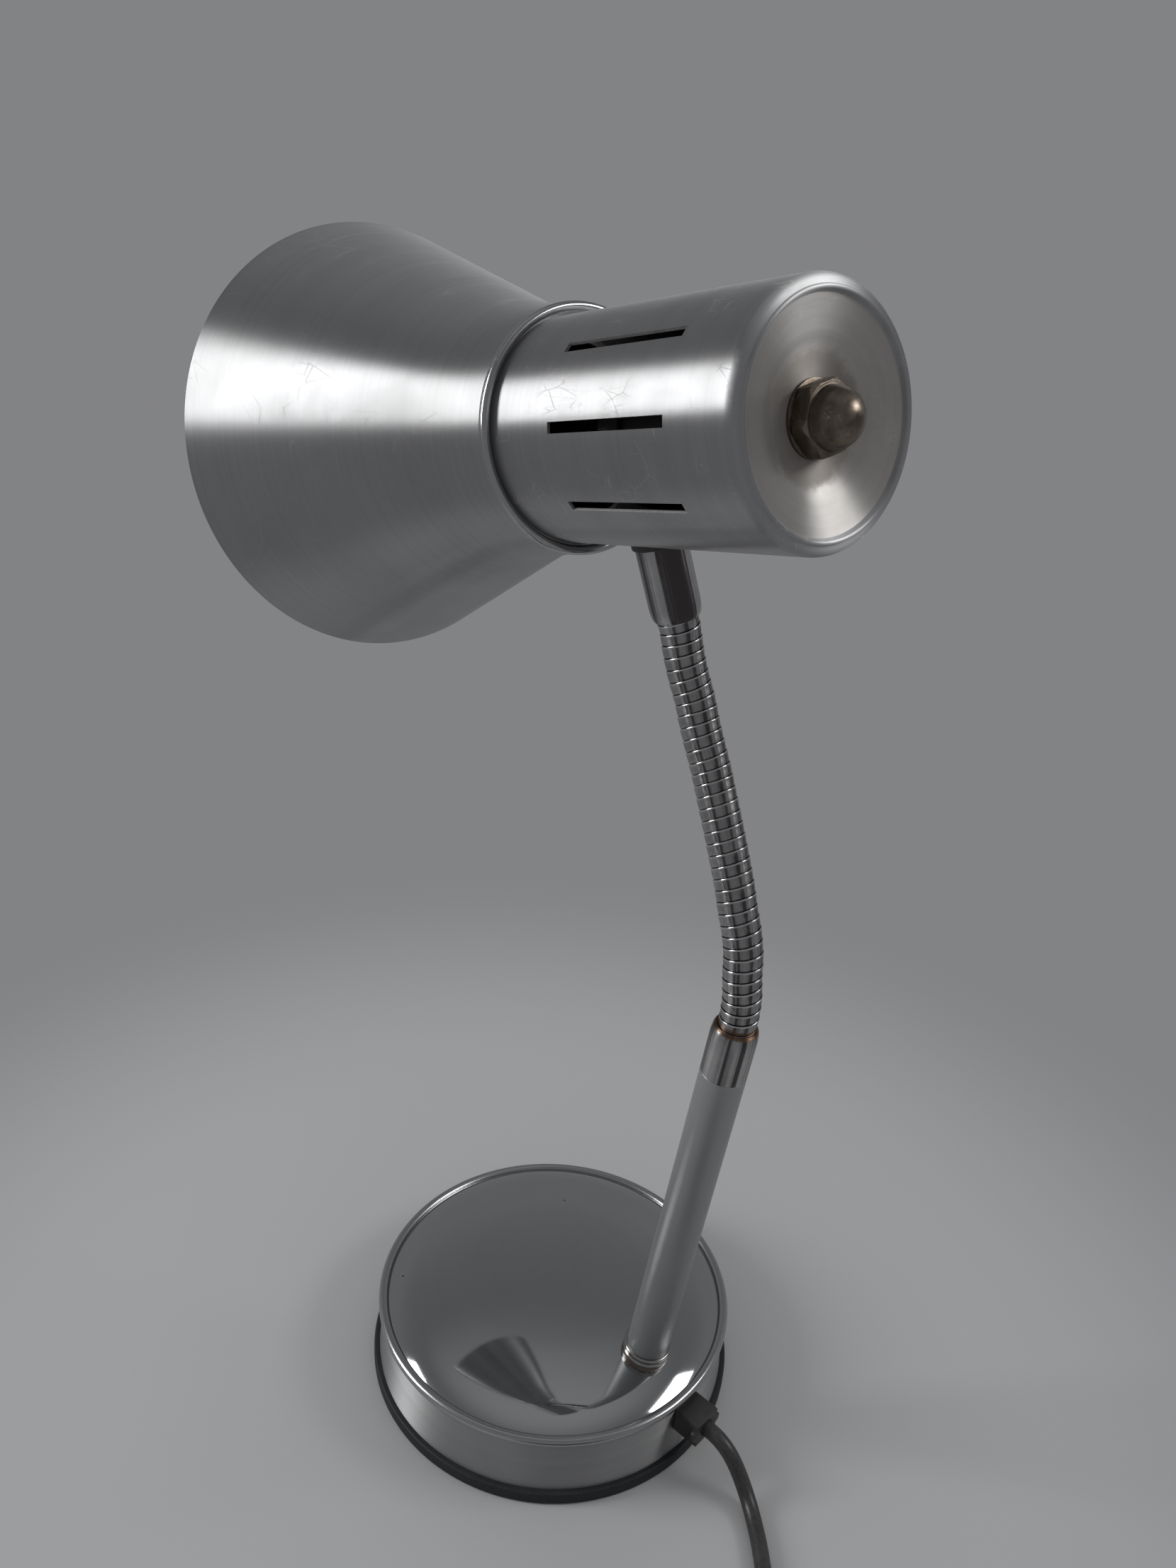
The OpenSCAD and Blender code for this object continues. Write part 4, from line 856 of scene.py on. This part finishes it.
def makeBase(v):
    sheet, gap, bead, beadZ, sole = (v[k] for k in ("sheet", "gap", "bead", "beadZ", "sole"))
    skirtR, foot, ledgeR = v["r"] - v["inset"], sole + v["foot"], v["crown"][-1][0] - v["ledge"]
    beadMid, beadIn = v["r"] - bead, v["r"] - 2 * bead
    under = plateArcs(v, sheet)
    ledgeZ = under[-1][1] - gap
    outline = ([(skirtR - sheet, foot), (skirtR, foot)] + wall(v, 0, beadZ - bead - 1)
               + arc(beadMid, beadZ, bead, -50, 180, 30)
               + [(beadIn, ledgeZ), (ledgeR, ledgeZ), (ledgeR, ledgeZ - sheet),
                  (beadIn, ledgeZ - sheet)]
               + wall(v, sheet, ledgeZ - sheet - 0.9)[::-1])
    skirt = dress(
        spun("baseSkirt", outline, Matrix(), v["steps"]), "stand", "satin_aluminium", skirtMetal,
        "base_skirt")
    faced(skirt, skirtBead, Matrix(), lambda r, z: z > beadZ - bead)
    dress(spun("basePlate", plateArcs(v, 0) + under[::-1], Matrix(), v["steps"]), "stand",
          "polished_plate", domeMetal, "base_dome")
    ringR, plateR, low, high = skirtR + v["proud"], skirtR - 3 * sheet, v["ringLow"], v["ringHigh"]
    inner = skirtR - sheet - gap
    outline = ([(plateR - v["sill"], 0), (ringR - low, 0)] + arc(ringR - low, low, low, -80, 0, 5)
               + arc(ringR - high, v["ringH"] - high, high, 0, 90, 8)
               + [(skirtR + gap, v["ringH"]), (skirtR + gap, foot - gap), (inner, foot - gap),
                  (inner, sole + v["channel"]), (plateR + gap, sole + v["channel"]),
                  (plateR + gap, sole), (plateR - v["sill"], sole)])
    dress(spun("rubberRing", outline, Matrix(), v["steps"]), "stand", "black_rubber", rubber,
          "base_ring")
    print("base ready")


makeBase(base)

# trumpet shade
shadeValues = dict(
    mouth=75.8, front=146.4, neck=36.2, back=22.6, collar=1.65, sweep=95, wall=0.9, bead=1.4,
    grip=9, gap=0.1, step=0.6, lip=[(0.1, 0.35), (0.3, 0.5), (0.6, 0.4), (0.9, 0)], beadEnd=1.2,
    throat=-52, steps=256)


def makeShade(v):
    mouth, front, neckR, back = (v[k] for k in ("mouth", "front", "neck", "back"))
    sweep, sheet, bead, step = (v[k] for k in ("sweep", "wall", "bead", "step"))
    start = back + v["collar"]
    out, run = mouth - neckR - sweep, front - start
    cone = degrees(asin(sweep / hypot(out, run)) + atan2(out, run))

    def side(off):
        line = arc(neckR + sweep, -start, sweep + off, 180, 180 + cone, 40)
        end, last = (mouth - off, -front), line[-1]
        return line + [(last[0] + (end[0] - last[0]) * k / 12,
                        last[1] + (end[1] - last[1]) * k / 12) for k in range(1, 13)]

    beadZ, sleeve = -back - bead, head["houseR"] + v["gap"]
    outline = (arc(neckR - bead + 0.1, beadZ, bead, 180, -60, 28) + side(0)
               + [(mouth - a, -front - b) for a, b in v["lip"]] + side(sheet)[::-1][1:]
               + [(neckR - sheet, beadZ - bead), (sleeve + sheet, beadZ - bead),
                  (sleeve + sheet, -back - v["grip"]), (sleeve, -back - v["grip"]),
                  (sleeve, beadZ - step), (sleeve + step, beadZ - step)])
    shade = dress(
        spun("shadeTrumpet", outline, axisFrame, v["steps"]), "head", "satin_aluminium",
        shadeMetal, "shade")
    middle, top = side(sheet / 2)[::-1], beadZ - v["beadEnd"]
    faced(shade, beadMetal, axisFrame, lambda r, z: z > top)

    def isInside(r, z):
        return -front <= z < top and r < radiusAt(middle, z)

    faced(shade, shadeInside, axisFrame, isInside)
    # the throat's inside painted near black as shade
    faced(shade, paintedShadeInside, axisFrame, lambda r, z: z > v["throat"] and isInside(r, z))
    print("shade ready, cone", round(cone, 1), "degrees")


makeShade(shadeValues)

# slotted housing with its dished end
houseValues = dict(
    wall=0.9, corner=2.4, shoulder=0.4, ridge=0.7, rear=0.9, rim=(1.9, 0.5), dish=5, dishSeat=10.5,
    bore=5.2, dishFrom=2.2, slot=46, slotWidth=3, slotMiddle=25.5, slotFirst=35,
    slotStep=38.6, facet=1.6, sharp=35)


def housingOutline(v):
    r, corner, rear = head["houseR"], v["corner"], head["houseBack"] - v["rear"]
    ridge = r - corner - v["shoulder"]
    line = arc(r - corner, rear - corner, corner, 0, 84, 14)
    line += arc(ridge - v["ridge"], rear, v["ridge"], 20, 160, 10)
    # the dish: a soft hollow down to the flat seat
    a, b = (ridge - v["rim"][0], rear - v["rim"][1]), (v["dishSeat"], rear - v["dish"])
    for i in range(19):
        u = i / 18
        sunk = 0.5 - 0.5 * cos(pi * u) if u > 0.5 else u
        line.append((a[0] + (b[0] - a[0]) * u, a[1] + (b[1] - a[1]) * sunk))
    return line + [(v["bore"], rear - v["dish"])]


def makeHousing(v):
    # rings along the axis and lines round it, laid so that the slots' edges fall on them
    houseR, front, low = head["houseR"], head["houseFront"], v["slotMiddle"] - v["slot"] / 2
    high = low + v["slot"]
    half = degrees(v["slotWidth"] / 2 / houseR)
    centres = [side * (v["slotFirst"] + v["slotStep"] * k) - 90 for side in (-1, 1)
               for k in range(3)]
    marks = sorted((c + e) % 360 for c in centres for e in (-half, half))
    angles = []
    for a, b in zip(marks, marks[1:] + [marks[0] + 360]):
        n = max(2, round((b - a) / v["facet"]))
        angles += [(a + (b - a) * k / n) % 360 for k in range(n)]
    heights = [-front + (low + front) * k / 8 for k in range(8)]
    heights += [low + v["slot"] * k / 12 for k in range(13)]
    rings = [(houseR, h) for h in heights] + housingOutline(v)
    bm = bmesh.new()
    uv = bm.loops.layers.uv.new("spun")
    around = [(cos(radians(a)), sin(radians(a))) for a in angles]
    verts = [[bm.verts.new((r * mm * c, r * mm * s, h * mm)) for c, s in around] for r, h in rings]
    count = len(angles)
    for i in range(len(rings) - 1):
        (r, h), (nextR, nextH) = rings[i:i + 2]
        inSlots = low < (h + nextH) / 2 < high and r == houseR == nextR
        for k in range(count):
            n = (k + 1) % count
            here = angles[k] + ((angles[n] - angles[k]) % 360) / 2
            if inSlots and any(abs((here - c + 180) % 360 - 180) < half for c in centres):
                continue
            face = bm.faces.new((verts[i][k], verts[i][n], verts[i + 1][n], verts[i + 1][k]))
            face.material_index = 3 if r < houseR - v["corner"] - v["dishFrom"] else 0
            for loop, (x, y) in zip(face.loops, ((k, i), (k + 1, i), (k + 1, i + 1), (k, i + 1))):
                loop[uv].uv = (x / count, y / 40)
    housing = newObject("lampHousing", meshFrom("lampHousing", bm))
    housing.data.transform(axisFrame)
    # outside, inside and cut edge of the sheet, then the same for the dish; both insides are near
    # black, painted shade
    for material in (housingMetal, paintedShadeInside, cutEdge, dishMetal, paintedShadeInside, cutEdge):
        housing.data.materials.append(material)
    sheet = housing.modifiers.new("sheet", "SOLIDIFY")
    sheet.thickness, sheet.offset = v["wall"] * mm, -1
    sheet.material_offset, sheet.material_offset_rim = 1, 2
    plainMesh(housing)
    smoothed(housing.data, v["sharp"])
    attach(housing, "head")
    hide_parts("housing")
    print("housing ready, slots", len(centres))


makeHousing(houseValues)

# bulb glass, blown as a thin shell that ends in the cap
bulbValues = dict(
    radius=27.5, wall=0.7, neck=13, shoulder=20.4, middle=-37, foot=13, coat=-30, steps=96)


def makeBulb(v):
    def side(off):
        r = v["radius"] - off
        low = degrees(asin((v["shoulder"] - off) / r))
        line = arc(0, v["middle"], r, -90, 90 - low, 40)
        fromR, fromZ = line[-1]
        for k in range(1, 13):
            u = k / 12
            line.append((fromR + (v["neck"] - off - fromR) * (3 * u * u - 2 * u ** 3),
                         fromZ + (v["foot"] - fromZ) * u))
        return line

    glass = dress(
        spun("bulbGlass", side(0) + side(v["wall"])[::-1], axisFrame, v["steps"]), "head",
        "bulb_glass", bulbGlass, "bulb_glass")
    # a coat on the rear of the glass, kept dark as painted shade, with a mirror on its inside
    faced(glass, bulbShadeCoat, axisFrame, lambda r, z: z > v["coat"])
    middle = side(v["wall"] / 2)
    faced(glass, bulbMirror, axisFrame, lambda r, z: z > v["coat"] and r < radiusAt(middle, z))


makeBulb(bulbValues)

# pieces whose CAD shape stays: edges eased by the width given, or only painted
smallPieces = [
    ("head", "aged_brass", agedBrass, {"acorn_nut": 0.35, "acorn_washer": 0.2}),
    ("stand", "chrome", collarMetal, {"stem_collar": 0}),
    ("stand", "chrome", steelPlate, {"plug_pins": 0}),
    ("stand", "black_plastic", plastic, {"cord_gland": 0.35, "switch_lower": 0.5,
     "switch_upper": 0.5, "coil_tie": 0.25, "plug_body": 0.6}),
    ("rocker", "black_plastic", plastic, {"switch_rocker": 0.3})]
for body, slotName, material, widths in smallPieces:
    for node, width in widths.items():
        dress(softened(node, width), body, slotName, material, node)
paint(rubber, "base_pad")
paint(steelPlate, "bottom_plate", "plate_screws", "stem_washer", "stem_nut", "switch_screws",
      "holder_stud", "stud_nut", "stud_washer", "bulb_cap")
paint(castIron, "ballast_weight")
paint(plastic, "neck_washer", "holder_barrel", "holder_ring", "holder_cap")
paint(plainBrass, "neck_nipple", "nipple_nut", "holder_shell")
print("small pieces ready")

# floor, background and lamps: place, size and power of each
studio = dict(
    background=(0.225, 0.227, 0.235), above=(0.17, 0.172, 0.178), zenith=(0.32, 0.325, 0.335),
    aboveRamp=(0.45, 0.8), zenithRamp=(0.78, 1), floor=(0.35, 0.353, 0.36), fade=(0.18, 0.42),
    floorR=6, floorZ=-0.2, worldLight=0.57, aim=(0, 0, 0.22), lamps=[("leftLamp", (0.85, -1, 0.78),
    (0.42, 0.72), 11.5), ("rightLamp", (-0.65, 0.95, 1.1), (0.6, 0.36), 5)])


def emptyTree(block):
    block.use_nodes = True
    block.node_tree.nodes.clear()
    return block.node_tree


def mixShaders(tree, factor, a, b, output):
    mix = addNode(tree, "MixShader", {0: factor, 1: a[0], 2: b[0]})[0]
    tree.links.new(mix, tree.nodes.new("ShaderNodeOutput" + output).inputs[0])


def seenRays(tree):
    path = addNode(tree, "LightPath")
    return calc(tree, "ADD", calc(tree, "ADD", path["Is Camera Ray"], path["Is Glossy Ray"]),
                path["Is Transmission Ray"], clamp=True)


def makeWorld(v):
    # the rays that light the lamp meet one even tone, those that are seen a sky of three
    scene.world = bpy.data.worlds.new("studio")
    tree = emptyTree(scene.world)
    lit = addNode(tree, "Background", {"Color": (1, 1, 1, 1), "Strength": v["worldLight"]})
    upward = split(tree, addNode(tree, "TexCoord")["Generated"])[2]
    sky = blend(tree, ramp(tree, upward, *v["aboveRamp"]), v["background"], v["above"])
    sky = blend(tree, ramp(tree, upward, *v["zenithRamp"]), sky, v["zenith"])
    shown = addNode(tree, "Background", {"Color": sky, "Strength": 1})
    mixShaders(tree, seenRays(tree), lit, shown, "World")


def makeFloor(v):
    bm = bmesh.new()
    bmesh.ops.create_circle(bm, cap_ends=True, segments=128, radius=v["floorR"])
    floor = newObject("floor", meshFrom("floor", bm))
    floor.data.transform(moved(0, 0, v["floorZ"]))
    material = bpy.data.materials.new("paleFloor")
    tree = emptyTree(material)
    away = vecCalc(tree, "LENGTH", localPoint(tree))
    far = times(tree, ramp(tree, away, *v["fade"]), seenRays(tree))
    matt = addNode(tree, "BsdfDiffuse", {"Color": (*v["floor"], 1)})
    glow = addNode(tree, "Emission", {"Color": (*v["background"], 1)})
    mixShaders(tree, far, matt, glow, "Material")
    floor.data.materials.append(material)


def makeLamps(v):
    for name, place, size, power in v["lamps"]:
        light = bpy.data.lights.new(name, "AREA")
        light.shape, light.energy = "RECTANGLE", power
        light.size, light.size_y = size
        obj = newObject(name, light)
        obj.location = place
        way = Vector(v["aim"]) - Vector(place)
        obj.rotation_euler = way.to_track_quat("-Z", "Y").to_euler()


makeWorld(studio)
makeFloor(studio)
makeLamps(studio)
scene.view_settings.view_transform = "Standard"
print("studio ready")
